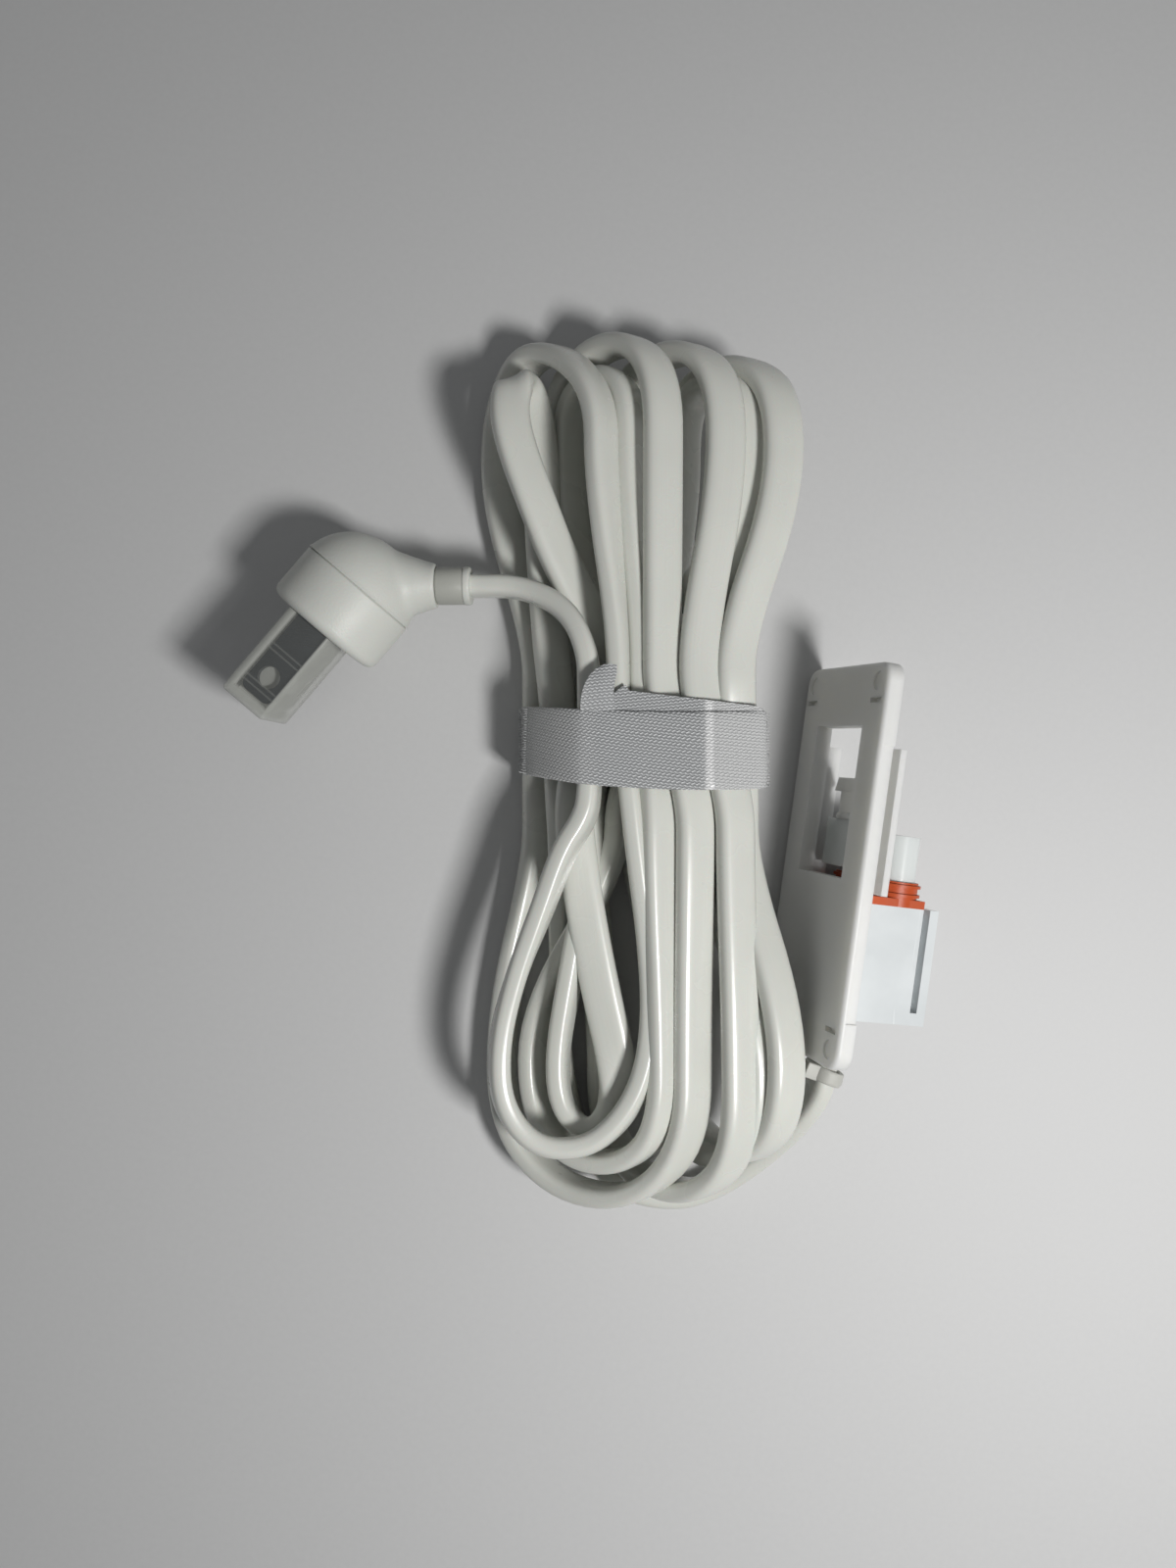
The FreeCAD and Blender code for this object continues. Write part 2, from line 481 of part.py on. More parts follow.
def biarc(start, along, end, onward):
    """Two arcs that leave start along one direction and reach end along the other, and their radii."""
    gap, sum_of = end - start, along + onward
    spread = 2 * (1 - along.dot(onward))
    if spread < ARC_RISE ** 2:
        reach = gap.dot(gap) / (4 * gap.dot(onward))
    else:
        reach = (math.sqrt(gap.dot(sum_of) ** 2 + spread * gap.dot(gap)) - gap.dot(sum_of)) / spread
    joint = (start + end + (along - onward) * reach) * 0.5
    across = end - start - sum_of * reach
    across.normalize()
    edges, radii = [], []
    for foot, head, heading in ((start, joint, along), (joint, end, across)):
        chord = head - foot
        side = chord - heading * chord.dot(heading)
        if side.Length < ARC_RISE:
            edges.append(Part.LineSegment(foot, head).toShape())
            continue
        side.normalize()
        radius = chord.dot(chord) / (2 * chord.dot(side))
        half = math.atan2(chord.dot(side), chord.dot(heading))
        middle = foot + side * (radius * (1 - math.cos(half))) + heading * (radius * math.sin(half))
        edges.append(Part.Arc(foot, middle, head).toShape())
        radii.append(radius)
    return edges, radii


def spaced_points(edges):
    """Points about a millimetre apart along edges."""
    points = []
    for edge in edges:
        points += edge.discretize(max(3, int(edge.Length) + 1))[:-1]
    return points


def least_gap(points, others, apart):
    """The least clear distance between two stretches that are over apart points from each other."""
    nearest = min((a.distanceToPoint(b), i, j) for i, a in enumerate(points)
                  for j, b in enumerate(others) if j - i > apart)
    return nearest[0] - size("cord_round"), points[nearest[1]], others[nearest[2]]


# Hank: long lobes at each end of a tied waist. At each end the outer turns lie in leaning loops,
# each further across than the last, and the inner turns come back inside them.
UP_Y = Vec(0, 1, 0)
MID_Y = size("waist_middle")
HALF = size("waist_half")
STRAND_ROWS = {
    "outer_top": (7.0, 6.6, size("waist_low") + 3 * size("waist_row")),
    "inner_top": (3.8, 6.6, size("waist_low") + 2 * size("waist_row")),
    "inner_low": (-4.5, 9.0, size("waist_low") + size("waist_row") + size("waist_settle")),
    "outer_low": (-9.0, 9.0, size("waist_low")),
    "between_low": (1.0, 0.0, size("waist_low") + size("waist_row") + size("waist_settle") + size("waist_lift")),
}
TOP_FIRST, TOP_PITCH, TOP_LEAN, TOP_RADIUS = 2.5, 11.3, 47, 14.0
TOP_REACH = (70.5, 73.0, 71.5, 69.0)
INNER_LESS = 5.6  # how much smaller an inner turn's radius is
# right side, lean, radius, reach, how much smaller the inner turn is, and how far it is raised
LOW_LOOPS = {1: (17.6, 27, 19.5, 81.5, 7.0, 1.2), 2: (27.4, 40, 15.5, 80.0, INNER_LESS, 0.2),
             3: (35.2, 50, 14.0, 74.0, 0, 0)}
# the innermost turn's two loops, in the same order
TIGHT_TOP, TIGHT_LOW = (-11.9, 75, 5.0, 65.0, 0.0, 7.5), (6.2, 10, 6.2, 68.2, 0.0, 11.5)
# the front loop: its middle, its radius, and how far its near, low and far points are above the middle
FRONT_MIDDLE, FRONT_RADIUS, FRONT_RISE = Vec(-4.3, -49.3, 20.0), 12.3, (-1.0, -0.5, 1.5)
FIRST_X = 0.5  # the strand on which the plug's lead comes in
FIRST_EXTRA, LAST_EXTRA = 0.5, 4.0  # straight beyond the waist, at the winding's first and last strand
HOUSING_RUN = 8.8  # straight before the terminal housing


class Route:
    """Points of a wound stretch, each with its heading, and whether the way on is straight."""

    def __init__(self):
        self.stops = []

    def go(self, point, heading, straight=False):
        heading = Vec(heading)
        heading.normalize()
        self.stops.append((point, heading, straight))

    def waist(self, row, number, way, extra=0.0):
        first, pitch, height = STRAND_ROWS[row]
        x = first + pitch * number
        self.go(Vec(x, MID_Y - way * HALF, height), UP_Y * way, True)
        self.go(Vec(x, MID_Y + way * (HALF + extra), height), UP_Y * way)

    def loop(self, side, right, lean_deg, radius, reach, less, raised, falling):
        """A leaning turn: from its high leg over its far end to its low leg, or the other way."""
        slope = math.radians(lean_deg)
        across = Vec(math.cos(slope), 0, math.sin(slope))
        middle = Vec(right - radius * across.x, MID_Y + side * (reach - radius),
                     size("table_lift") + radius * across.z + raised)
        arc = radius - less
        high, far, low = middle + across * arc, middle + UP_Y * (side * arc), middle - across * arc
        if falling:
            self.go(high, UP_Y * side)
            self.go(far, across * -1)
            self.go(low, UP_Y * -side)
        else:
            self.go(low, UP_Y * side)
            self.go(far, across)
            self.go(high, UP_Y * -side)

    def top(self, number, less=0.0):
        self.loop(1, TOP_FIRST + TOP_PITCH * number, TOP_LEAN, TOP_RADIUS, TOP_REACH[number], less, 0.0, True)

    def bottom(self, number, inner=False):
        right, lean_deg, radius, reach, less, raised = LOW_LOOPS[number]
        self.loop(-1, right, lean_deg, radius, reach, less if inner else 0, raised if inner else 0, False)

    def edges(self):
        made, radii = [], []
        for (start, along, straight), (end, onward, _) in zip(self.stops, self.stops[1:]):
            if straight:
                made.append(Part.LineSegment(start, end).toShape())
            else:
                arcs, sizes = biarc(start, along, end, onward)
                made += arcs
                radii += sizes
        return made, radii


wound = Route()
first_top = STRAND_ROWS["outer_top"][2]
wound.go(Vec(FIRST_X, MID_Y + HALF + FIRST_EXTRA, first_top), UP_Y * -1, True)
wound.go(Vec(FIRST_X, MID_Y - HALF, first_top), UP_Y * -1)
wound.go(FRONT_MIDDLE + Vec(-FRONT_RADIUS, 0, FRONT_RISE[0]), UP_Y * -1)
wound.go(FRONT_MIDDLE + Vec(0, -FRONT_RADIUS, FRONT_RISE[1]),
         Vec(2 * FRONT_RADIUS, 0, (FRONT_RISE[2] - FRONT_RISE[0]) / 2))
wound.go(FRONT_MIDDLE + Vec(FRONT_RADIUS, 0, FRONT_RISE[2]), UP_Y)
for turn_number in range(3):
    wound.waist("outer_top", turn_number, 1)
    wound.top(turn_number)
    wound.waist("outer_low", turn_number, -1)
    wound.bottom(turn_number + 1)
wound.waist("outer_top", 3, 1)
wound.top(3)
for turn_number in (2, 1):
    wound.waist("inner_low", turn_number + 1, -1)
    wound.bottom(turn_number, inner=True)
    wound.waist("inner_top", turn_number, 1)
    wound.top(turn_number, less=INNER_LESS)
wound.waist("between_low", 0, -1)
wound.loop(-1, *TIGHT_LOW, False)
wound.waist("inner_top", 0, 1)
wound.loop(1, *TIGHT_TOP, True)
wound.waist("inner_low", 0, -1, extra=LAST_EXTRA)
hank_edges, hank_radii = wound.edges()

# The lead from the plug meets the hank's first stop, and the one to the bracket its last
hank_start, hank_end = wound.stops[0][0], wound.stops[-1][0]
plug_route = [lead_exit, Vec(-11.9, 35.6, size("plug_height")), Vec(-3.8, 31.3, 17.9),
              Vec(FIRST_X, 23.2, hank_start.z), hank_start]
bracket_exit = HANK.inverse().multVec(BRACKET.multVec(
    Vec(size("plate_thick") + size("cord_depth"), -size("cord_stub"), size("plate_width") / 2)))
bracket_heading = HANK.inverse().Rotation.multVec(UP_Y)
bracket_route = [hank_end, Vec(hank_end.x, -15.0, hank_end.z), Vec(-5.0, -26.0, 4.1), Vec(-5.5, -37.0, 2.3),
                 Vec(-5.0, -52.0, 2.4), Vec(-2.4, -66.0, 2.4), Vec(6.5, -77.4, 2.4), Vec(19.5, -79.4, 2.4),
                 Vec(31.2, -74.8, 3.2), Vec(38.6, -66.8, 8.6), bracket_exit - bracket_heading * HOUSING_RUN,
                 bracket_exit]

cord_radius = size("cord_round") / 2


def add_cord(label, edges, away):
    path = Part.Wire(edges)
    obj = doc.addObject("Part::Feature", label)
    obj.Shape = tube(path, cord_radius, away)
    expected = math.pi * cord_radius ** 2 * path.Length
    print("%s: length %.1f, volume %.0f against section x length %.0f"
          % (label, path.Length, obj.Shape.Volume, expected))
    piece(label, obj, HANK)
    return path


plug_edges, plug_radii = tangent_path(plug_route)
bracket_edges, bracket_radii = tangent_path(bracket_route)
print("plug lead radii", [round(r, 1) for r in plug_radii])
print("bracket lead radii", [round(r, 1) for r in bracket_radii])
print("hank's least radius %.1f" % min(hank_radii))
add_cord("plug_lead", plug_edges, Vec(1, 0, 0))
add_cord("cord_hank", hank_edges, UP_Y * -1)
add_cord("module_lead", bracket_edges, UP_Y * -1)


# Cores: inside the terminal box from the cord to the contacts, and in the plug from cord to crimps
def add_core(label, points, where):
    edges, _ = tangent_path(points)
    obj = doc.addObject("Part::Feature", label)
    obj.Shape = tube(Part.Wire(edges), size("core_radius"), points[1] - points[0])
    piece(label, obj, where)


cord_in = size("box_start") + size("box_wall") + size("clamp_length")
contact_start = (size("box_start") + size("box_length") + size("nose_length") - size("contact_sink")
                 - size("contact_length"))
CORE_STRAIGHT = 3.0
CORE_BEND, CORE_LIFT = 4.0, 1.8  # where a core bends in the arm, and how far out it stands there
CORE_FLARE = 1.15
SAME_STRAND = 20.0  # stretches nearer to each other along the hank than this belong to one strand
JOINED = 12.0  # length of the hank that each lead joins, left out of the gap measured to that lead
holder_end = size("base_floor") + size("holder_length")
cord_inner = arm_start + arm_turn.multVec(Vec(size("arm_length") - size("sleeve_sink"), 0, 0))
for number, side in enumerate((-1, 1), 1):
    beside = side * size("core_spacing") / 2
    cord_face = Vec(size("plate_thick") + size("cord_depth"), cord_in, size("plate_width") / 2 + beside)
    contact_face = Vec(size("plate_thick") + size("box_depth") - size("nose_behind"), contact_start,
                       size("plate_width") / 2 + side * size("contact_spacing") / 2)
    add_core("module_core_%d" % number,
             [cord_face, cord_face + UP_Y * CORE_STRAIGHT, contact_face - UP_Y * CORE_STRAIGHT, contact_face],
             BRACKET)
    crimp_face = Vec(holder_end + size("crimp_length") / 2, 0, side * size("blade_spacing") / 2)
    inner = cord_inner + Vec(0, 0, beside)
    before = inner - arm_turn.multVec(Vec(size("sleeve_sink"), 0, 0))
    bend = (arm_start + arm_turn.multVec(Vec(CORE_BEND, 0, 0))
            + Vec(0, 0, CORE_FLARE * beside + side * CORE_LIFT))
    straight_end = crimp_face + Vec(size("crimp_length") / 2 + size("cut_past"), 0, 0)
    add_core("plug_core_%d" % number,
             [crimp_face, straight_end, bend, before, inner], PLUG)

hank_points = spaced_points(hank_edges)
anywhere = -len(hank_points)
joined_points = int(JOINED)  # the points lie about a millimetre apart
for label, gap in (
        ("hank to itself", least_gap(hank_points, hank_points, SAME_STRAND)),
        ("plug lead to hank", least_gap(spaced_points(plug_edges), hank_points[joined_points:], anywhere)),
        ("bracket lead to hank", least_gap(spaced_points(bracket_edges), hank_points[:-joined_points], anywhere))):
    print("least gap, %s: %.2f" % (label, gap[0]), [round(c, 1) for c in gap[1]],
          [round(c, 1) for c in gap[2]])
print("cord in all %.0f" % (sum(e.Length for e in plug_edges + hank_edges + bracket_edges)))


# Strap: a band of cloth that follows the outline of the tied strands, with its loose end on top
def strand(row, number):
    first, pitch, height = STRAND_ROWS[row]
    return Vec(first + pitch * number, MID_Y - size("strap_width") / 2, height)


first_strand = Vec(hank_start.x, MID_Y - size("strap_width") / 2, first_top)
corners = [strand("outer_low", 0), strand("outer_low", 2), strand("inner_low", 3), strand("outer_top", 3),
           first_strand]
outline = Part.makePolygon(corners + corners[:1])
strap_inside = cord_radius + size("strap_fit")
strap_outside = strap_inside + size("strap_thick")
ring = Part.Face(outline.makeOffset2D(strap_outside)).cut(Part.Face(outline.makeOffset2D(strap_inside)))
band = ring.extrude(Vec(0, size("strap_width"), 0))
tab_middle = first_strand + Vec(size("tab_width") / 4, size("strap_width"), strap_inside)
tab_radius = size("tab_width") / 2
tab = Part.makeBox(size("tab_width"), size("tab_length") - tab_radius + size("cut_past"), size("strap_thick"),
                   tab_middle - Vec(tab_radius, size("cut_past"), 0))
tab_end = Part.makeCylinder(tab_radius, size("strap_thick"),
                            tab_middle + Vec(0, size("tab_length") - tab_radius, 0))
strap = doc.addObject("Part::Feature", "strap")
strap.Shape = band.fuse([tab, tab_end]).removeSplitter()
piece("tie_strap", strap, HANK)

doc.recompute()
for obj in doc.Objects:
    if {"Invalid", "Error"} & set(obj.State):
        raise RuntimeError("%s did not compute: %s" % (obj.Label, obj.State))
for label, obj in pieces.items():
    if obj.Shape.isNull() or not obj.Shape.isValid() or not obj.Shape.Solids:
        raise RuntimeError("%s has no valid solid" % label)
    if len(obj.Shape.Solids) != 1:
        print("%s has %d solids" % (label, len(obj.Shape.Solids)))

os.makedirs("parts", exist_ok=True)
for label, obj in pieces.items():
    obj.Shape.exportStep("parts/%s.step" % label)
    box = obj.Shape.BoundBox
    print("%-20s X %7.2f %7.2f  Y %7.2f %7.2f  Z %6.2f %6.2f  volume %8.1f" % (
        label, box.XMin, box.XMax, box.YMin, box.YMax, box.ZMin, box.ZMax, obj.Shape.Volume))
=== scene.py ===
import math

import bmesh
import bpy
from mathutils import Matrix, Vector


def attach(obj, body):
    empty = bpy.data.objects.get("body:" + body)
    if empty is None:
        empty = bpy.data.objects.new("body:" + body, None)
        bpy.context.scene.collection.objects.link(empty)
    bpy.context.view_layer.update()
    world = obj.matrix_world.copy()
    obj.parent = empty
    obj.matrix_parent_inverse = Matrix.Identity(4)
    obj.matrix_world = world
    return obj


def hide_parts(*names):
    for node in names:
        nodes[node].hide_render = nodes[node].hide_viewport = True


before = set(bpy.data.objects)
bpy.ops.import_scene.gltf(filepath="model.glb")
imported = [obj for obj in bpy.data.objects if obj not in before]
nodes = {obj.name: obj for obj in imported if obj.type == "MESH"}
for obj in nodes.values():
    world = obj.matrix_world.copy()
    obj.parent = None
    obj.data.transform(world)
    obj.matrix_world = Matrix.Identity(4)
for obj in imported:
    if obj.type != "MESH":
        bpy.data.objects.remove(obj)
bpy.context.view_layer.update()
mm = 0.001

view = bpy.context.scene.view_settings
view.view_transform = "Standard"

# the hank lies a little turned beside the bracket, and the photograph was taken straight down on it
hankPlace = {"x": -51.73, "y": 7.5, "z": 0.0, "turn": 7.85}


def frameAt(facts):
    place = Matrix.Translation((facts["x"] * mm, facts["y"] * mm, facts["z"] * mm))
    return place @ Matrix.Rotation(math.radians(facts["turn"]), 4, "Z")


def link(thing):
    bpy.context.scene.collection.objects.link(thing)
    return thing


hankFrame = frameAt(hankPlace)

# Camera
cameraFacts = {"height": 227, "lens": 27.045, "sensor": 36, "near": 0.01, "far": 20}


def makeCamera(facts):
    data = bpy.data.cameras.new("camera")
    data.lens = facts["lens"]
    data.sensor_width = facts["sensor"]
    data.clip_start = facts["near"]
    data.clip_end = facts["far"]
    camera = link(bpy.data.objects.new("camera", data))
    camera.location = hankFrame @ Vector((0, 0, facts["height"] * mm))
    camera.rotation_euler = (0, 0, math.radians(hankPlace["turn"]))
    bpy.context.scene.camera = camera


makeCamera(cameraFacts)
print("camera set")

# Cord: one flat lead, from the housing through the hank to the plug
cordFacts = {"width": 7.0, "thick": 3.9, "groove": 0.13, "length": 2.43, "clearance": 0.15}

# each strand at the strap, above it and below it in the photograph: x, height, and how far it stands
# on its edge
waist = {
    "middle": 6.4, "half": 8.0,
    "outerTop": (((5.4, 19.6, 76), (7.6, 19.7, 78)), ((13.0, 20.2, 26), (18.8, 21.0, 24)),
                 ((19.4, 21.0, 10), (25.8, 20.9, 24)), ((25.9, 20.6, 14), (27.3, 15.6, 28))),
    "innerTop": (((2.6, 14.2, 40), (-3.3, 15.2, 20)), ((9.4, 17.2, 82), (12.7, 20.6, 32)),
                 ((24.6, 16.2, 5), (21.5, 14.6, 14))),
    "innerLow": (((-5.5, 9.2, 30), (-4.5, 9.0, 25)), ((1.0, 10.8, 60), (1.0, 10.8, 60)),
                 ((13.5, 10.0, 45), (5.4, 10.3, 70)), ((22.5, 10.0, 40), (22.5, 10.0, 40))),
    "outerLow": (((-9.0, 3.9, 30), (-9.0, 3.9, 30)), ((0.0, 3.9, 30), (0.0, 3.9, 30)),
                 ((9.0, 3.9, 30), (9.0, 3.9, 30))),
}
octagon = 0.4142  # half the side of an octagon round a circle of radius 1
evenTurn = ((1, octagon), (octagon, 1), (-octagon, 1), (-1, octagon))
sharpTurn = ((1, 0.2), (0.25, 0.92), (-0.5, 1.02), (-1, 0.3))


def turnOf(right, lean, radius, reach, raised, edge, low=None, shape=evenTurn):
    # a leaning turn: its right side, lean, radius, reach from the waist, how far its middle is raised, and
    # how far the cord leans at its high side and at its low side
    return {"right": right, "lean": lean, "radius": radius, "reach": reach, "raised": raised, "edge": edge,
            "low": 90 - lean if low is None else low, "shape": shape}


topLoops = {
    "outer": (turnOf(2.3, 47, 14.0, 72.5, 0, 50, low=18, shape=sharpTurn),
              turnOf(13.0, 47, 14.0, 73.0, 0, 22), turnOf(23.9, 47, 14.0, 71.5, 0, 14),
              turnOf(34.0, 47, 13.6, 69.0, 0, 12)),
    "inner": (None, turnOf(7.6, 47, 8.2, 67.2, 4.2, 60), turnOf(27.6, 47, 7.2, 65.9, 6.5, 8)),
}
lowLoops = {
    "outer": (None, turnOf(18.4, 27, 19.5, 81.5, 0, 30), turnOf(26.6, 40, 15.5, 80.0, 0, 26),
              turnOf(34.4, 50, 14.0, 73.0, -0.8, 30)),
    "inner": (None, turnOf(13.6, 27, 13.4, 74.6, 5.2, 44), turnOf(31.4, 40, 11.0, 73.6, 4.2, 24)),
}
tableLift = 2.3

# stretches with points of their own: place, and the way in which the flat section is wide
upright = (0, 0, 1)
plugLead = (((-30.0, 35.6, 15.0), upright), ((-20.2, 35.6, 15.0), upright), ((-11.9, 35.6, 15.0), upright),
            ((-3.8, 31.3, 17.9), upright), ((0.1, 23.2, 20.4), (-0.1, 0, 1)),
            ((0.2, 14.9, 20.4), (-0.15, 0, 1)), ((0.4, -1.6, 20.4), (-0.2, 0, 1)))
frontLoop = (((-0.6, -6.2, 20.5), (-0.3, 0.1, 1)), ((-4.2, -11.5, 20.5), (-0.3, 0.1, 1)),
             ((-8.0, -22.0, 20.0), (-0.2, 0.1, 1)), ((-12.7, -33.5, 19.6), upright),
             ((-15.9, -45.5, 19.6), (0.2, 0, 1)), ((-15.4, -56.5, 19.6), (0.2, 0.2, 1)),
             ((-9.5, -63.9, 19.6), (0, 0.3, 1)), ((-0.5, -64.4, 19.4), (-0.1, 0.3, 1)),
             ((6.2, -59.2, 19.0), (-0.3, 0.2, 1)), ((10.4, -51.0, 18.4), (-0.3, 0, 1)),
             ((11.6, -40.0, 18.0), (-0.2, 0, 1)), ((10.6, -26.0, 18.4), (-0.2, 0, 1)),
             ((8.7, -12.0, 19.2), (-0.2, 0, 1)))
tightLow = (((0.6, -16.0, 12.2), (-0.4, 0, 0.9)), ((-3.0, -34.0, 12.9), (-0.3, 0, 0.9)),
            ((-5.9, -50.0, 12.8), (-0.2, 0, 0.95)), ((-4.6, -60.0, 13.2), (-0.1, 0.2, 0.95)),
            ((1.2, -63.2, 14.2), (-0.3, 0.4, 0.8)), ((5.6, -58.0, 14.9), (-0.7, 0.2, 0.5)),
            ((5.2, -49.6, 15.2), (-0.98, 0, -0.1)), ((2.2, -37.0, 15.2), (-0.98, 0, -0.15)),
            ((-1.0, -20.0, 15.2), (-0.98, 0, -0.05)))
tightTop = (((2.2, 22.0, 13.2), (-0.85, 0, 0.45)), ((0.2, 31.0, 13.2), (-0.93, 0, 0.36)),
            ((-5.4, 40.6, 15.8), (-0.93, -0.2, 0.36)), ((-9.3, 50.5, 18.4), (-0.92, -0.2, 0.36)),
            ((-12.4, 58.5, 19.8), (-0.9, -0.15, 0.4)), ((-14.0, 65.2, 19.8), (-0.88, -0.25, 0.4)),
            ((-13.4, 71.2, 17.4), (-0.8, -0.5, 0.35)), ((-10.8, 71.4, 12.4), (-0.8, -0.5, 0.35)),
            ((-9.0, 64.0, 10.6), (-0.84, -0.25, 0.45)), ((-8.2, 46.0, 9.6), (-0.88, 0, 0.45)),
            ((-7.0, 27.0, 9.4), (-0.85, 0, 0.5)))
slant = (0.2746, -0.0379, 0.9608)
housingLead = (((-4.5, -8.0, 10.0), (-0.6, 0, 0.8)), ((-4.5, -15.0, 10.0), (-0.5, 0, 0.87)),
               ((-5.0, -26.0, 4.1), (-0.3, 0, 0.95)), ((-5.5, -37.0, 2.3), upright),
               ((-5.0, -52.0, 2.4), upright), ((-2.4, -66.0, 2.4), upright), ((5.5, -76.4, 2.4), upright),
               ((16.5, -78.6, 2.6), upright), ((24.6, -76.0, 3.2), upright), ((31.6, -70.6, 5.4), upright),
               ((37.6, -63.4, 9.2), (0.15, 0, 1)), ((41.2, -57.0, 12.6), slant), ((42.4, -52.4, 13.6), slant),
               ((43.88, -36.74, 13.77), slant))


def hankRoute():
    points = []

    def add(place, wide):
        points.append((Vector(place), Vector(wide).normalized()))

    def addAll(stretch):
        for place, wide in stretch:
            add(place, wide)

    def leanedWide(degrees):
        lean = math.radians(degrees)
        return Vector((-math.cos(lean), 0, math.sin(lean)))

    def strandAt(row, number, heading):
        ends = []
        for side, (x, height, lean) in zip((1, -1), waist[row][number]):
            ends.append((Vector((x, waist["middle"] + side * waist["half"], height)), leanedWide(lean)))
        return ends if heading < 0 else ends[::-1]

    def leg(start, end):
        # leaves one place straight and comes straight to the next
        quarter = Vector((0, (end[0].y - start[0].y) / 4, 0))
        add(start[0] + quarter, start[1])
        add(end[0] - quarter, end[1])

    def loopPoints(facts, side):
        lean = math.radians(facts["lean"])
        across = Vector((math.cos(lean), 0, math.sin(lean)))
        radius = facts["radius"]
        middle = Vector((facts["right"] - radius * across.x,
                         waist["middle"] + side * (facts["reach"] - radius),
                         tableLift + radius * across.z + facts["raised"]))
        bent, shown = leanedWide(facts["low"]), leanedWide(facts["edge"])
        wides = (shown, (shown + bent * 2).normalized(), bent, bent)
        high, low = (middle + across * radius, shown), (middle - across * radius, bent)
        turning = [(middle + across * right * radius + Vector((0, side * reach * radius, 0)), wide)
                   for (right, reach), wide in zip(facts["shape"], wides)]
        return [high, *turning, low]

    def strand(last, row, number, heading):
        start, end = strandAt(row, number, heading)
        if last:
            leg(last, start)
        add(*start)
        add(*end)
        return end

    def turnRound(last, facts, side):
        # round the top end from its high side to its low side, and round the low end the other way
        start, *turning, end = loopPoints(facts, side)[::side]
        leg(last, start)
        addAll(turning)
        return end

    # plug lead, then the first strand and the front loop
    addAll(plugLead + frontLoop)

    # outer turns, then the inner turns back
    last = None
    for number in range(3):
        last = turnRound(strand(last, "outerTop", number, 1), topLoops["outer"][number], 1)
        last = turnRound(strand(last, "outerLow", number, -1), lowLoops["outer"][number + 1], -1)
    last = turnRound(strand(last, "outerTop", 3, 1), topLoops["outer"][3], 1)
    for number in (2, 1):
        last = turnRound(strand(last, "innerLow", number + 1, -1), lowLoops["inner"][number], -1)
        last = turnRound(strand(last, "innerTop", number, 1), topLoops["inner"][number], 1)

    # innermost turn, then down to the table, round the low end and up into the housing
    strand(last, "innerLow", 1, -1)
    addAll(tightLow)
    strand(None, "innerTop", 0, 1)
    addAll(tightTop)
    strand(None, "innerLow", 0, -1)
    addAll(housingLead)

    points.reverse()
    resting = []
    for place, wide in points:
        # a flat cord on its edge stands higher than one that lies flat
        upward = abs(wide.z)
        half = (cordFacts["width"] * upward + cordFacts["thick"] * math.sqrt(1 - min(upward, 1) ** 2)) / 2
        place.z = max(place.z, half + cordFacts["clearance"])
        resting.append((hankFrame @ (place * mm), hankFrame.to_3x3() @ wide))
    return resting


def swell(value, power):
    # a sine or cosine raised to a power with its sign kept, which fills out the corners of an oval
    return math.copysign(abs(value) ** power, value)


def splineLine(points, steps, closed=False):
    # evenly spaced places along a spline of the third order
    data = bpy.data.curves.new("line", "CURVE")
    data.dimensions = "3D"
    data.resolution_u = steps
    spline = data.splines.new("NURBS")
    spline.points.add(len(points) - 1)
    for knot, place in zip(spline.points, points):
        knot.co = (place.x, place.y, place.z, 1)
    spline.order_u = 3
    spline.use_endpoint_u = not closed
    spline.use_cyclic_u = closed
    holder = bpy.data.objects.new("line", data)
    mesh = bpy.data.meshes.new_from_object(holder)
    line = [vertex.co.copy() for vertex in mesh.vertices]
    bpy.data.objects.remove(holder)
    bpy.data.curves.remove(data)
    bpy.data.meshes.remove(mesh)
    return line


def stationFrames(line, wides, closed=False):
    # at each place of a line, the directions in which the section is wide and thin
    frames = []
    count = len(line)
    for i, place in enumerate(line):
        before = line[(i - 1) % count] if closed else line[max(i - 1, 0)]
        after = line[(i + 1) % count] if closed else line[min(i + 1, count - 1)]
        tangent = (after - before).normalized()
        wide = wides[i] - tangent * wides[i].dot(tangent)
        wide.normalize()
        frames.append((place, wide, tangent.cross(wide)))
    return frames


def madeFrom(bm, name, smooth=True, sharp=None):
    # the piece that a mesh being built becomes
    mesh = bpy.data.meshes.new(name)
    bm.to_mesh(mesh)
    bm.free()
    if smooth:
        mesh.shade_smooth()
    if sharp:
        mesh.set_sharp_from_angle(angle=math.radians(sharp))
    return link(bpy.data.objects.new(name, mesh))


def closeEnds(bm):
    bmesh.ops.holes_fill(bm, edges=[edge for edge in bm.edges if edge.is_boundary], sides=0)


def sweep(name, frames, outline, closed=False):
    # a grid rolled up into a tube: one column for each station, one row for each point of the outline
    bm = bmesh.new()
    stations = len(frames)
    columns = stations if closed else stations - 1
    rows = len(outline)
    bmesh.ops.create_grid(bm, x_segments=columns, y_segments=rows, size=1)
    layer = bm.verts.layers.float_vector.new("runAlong")
    runs = [0.0]
    for i in range(columns):
        runs.append(runs[-1] + (frames[(i + 1) % stations][0] - frames[i][0]).length)
    for vertex in bm.verts:
        column = round((vertex.co.x + 1) / 2 * columns)
        row = round((vertex.co.y + 1) / 2 * rows)
        place, wide, thin = frames[column % stations]
        across, depth = outline[row % rows]
        vertex.co = place + wide * across + thin * depth
        vertex[layer] = (runs[column], across, depth)
    bmesh.ops.remove_doubles(bm, verts=bm.verts, dist=1e-7)
    if not closed:
        closeEnds(bm)
    bmesh.ops.recalc_face_normals(bm, faces=bm.faces)
    return madeFrom(bm, name)


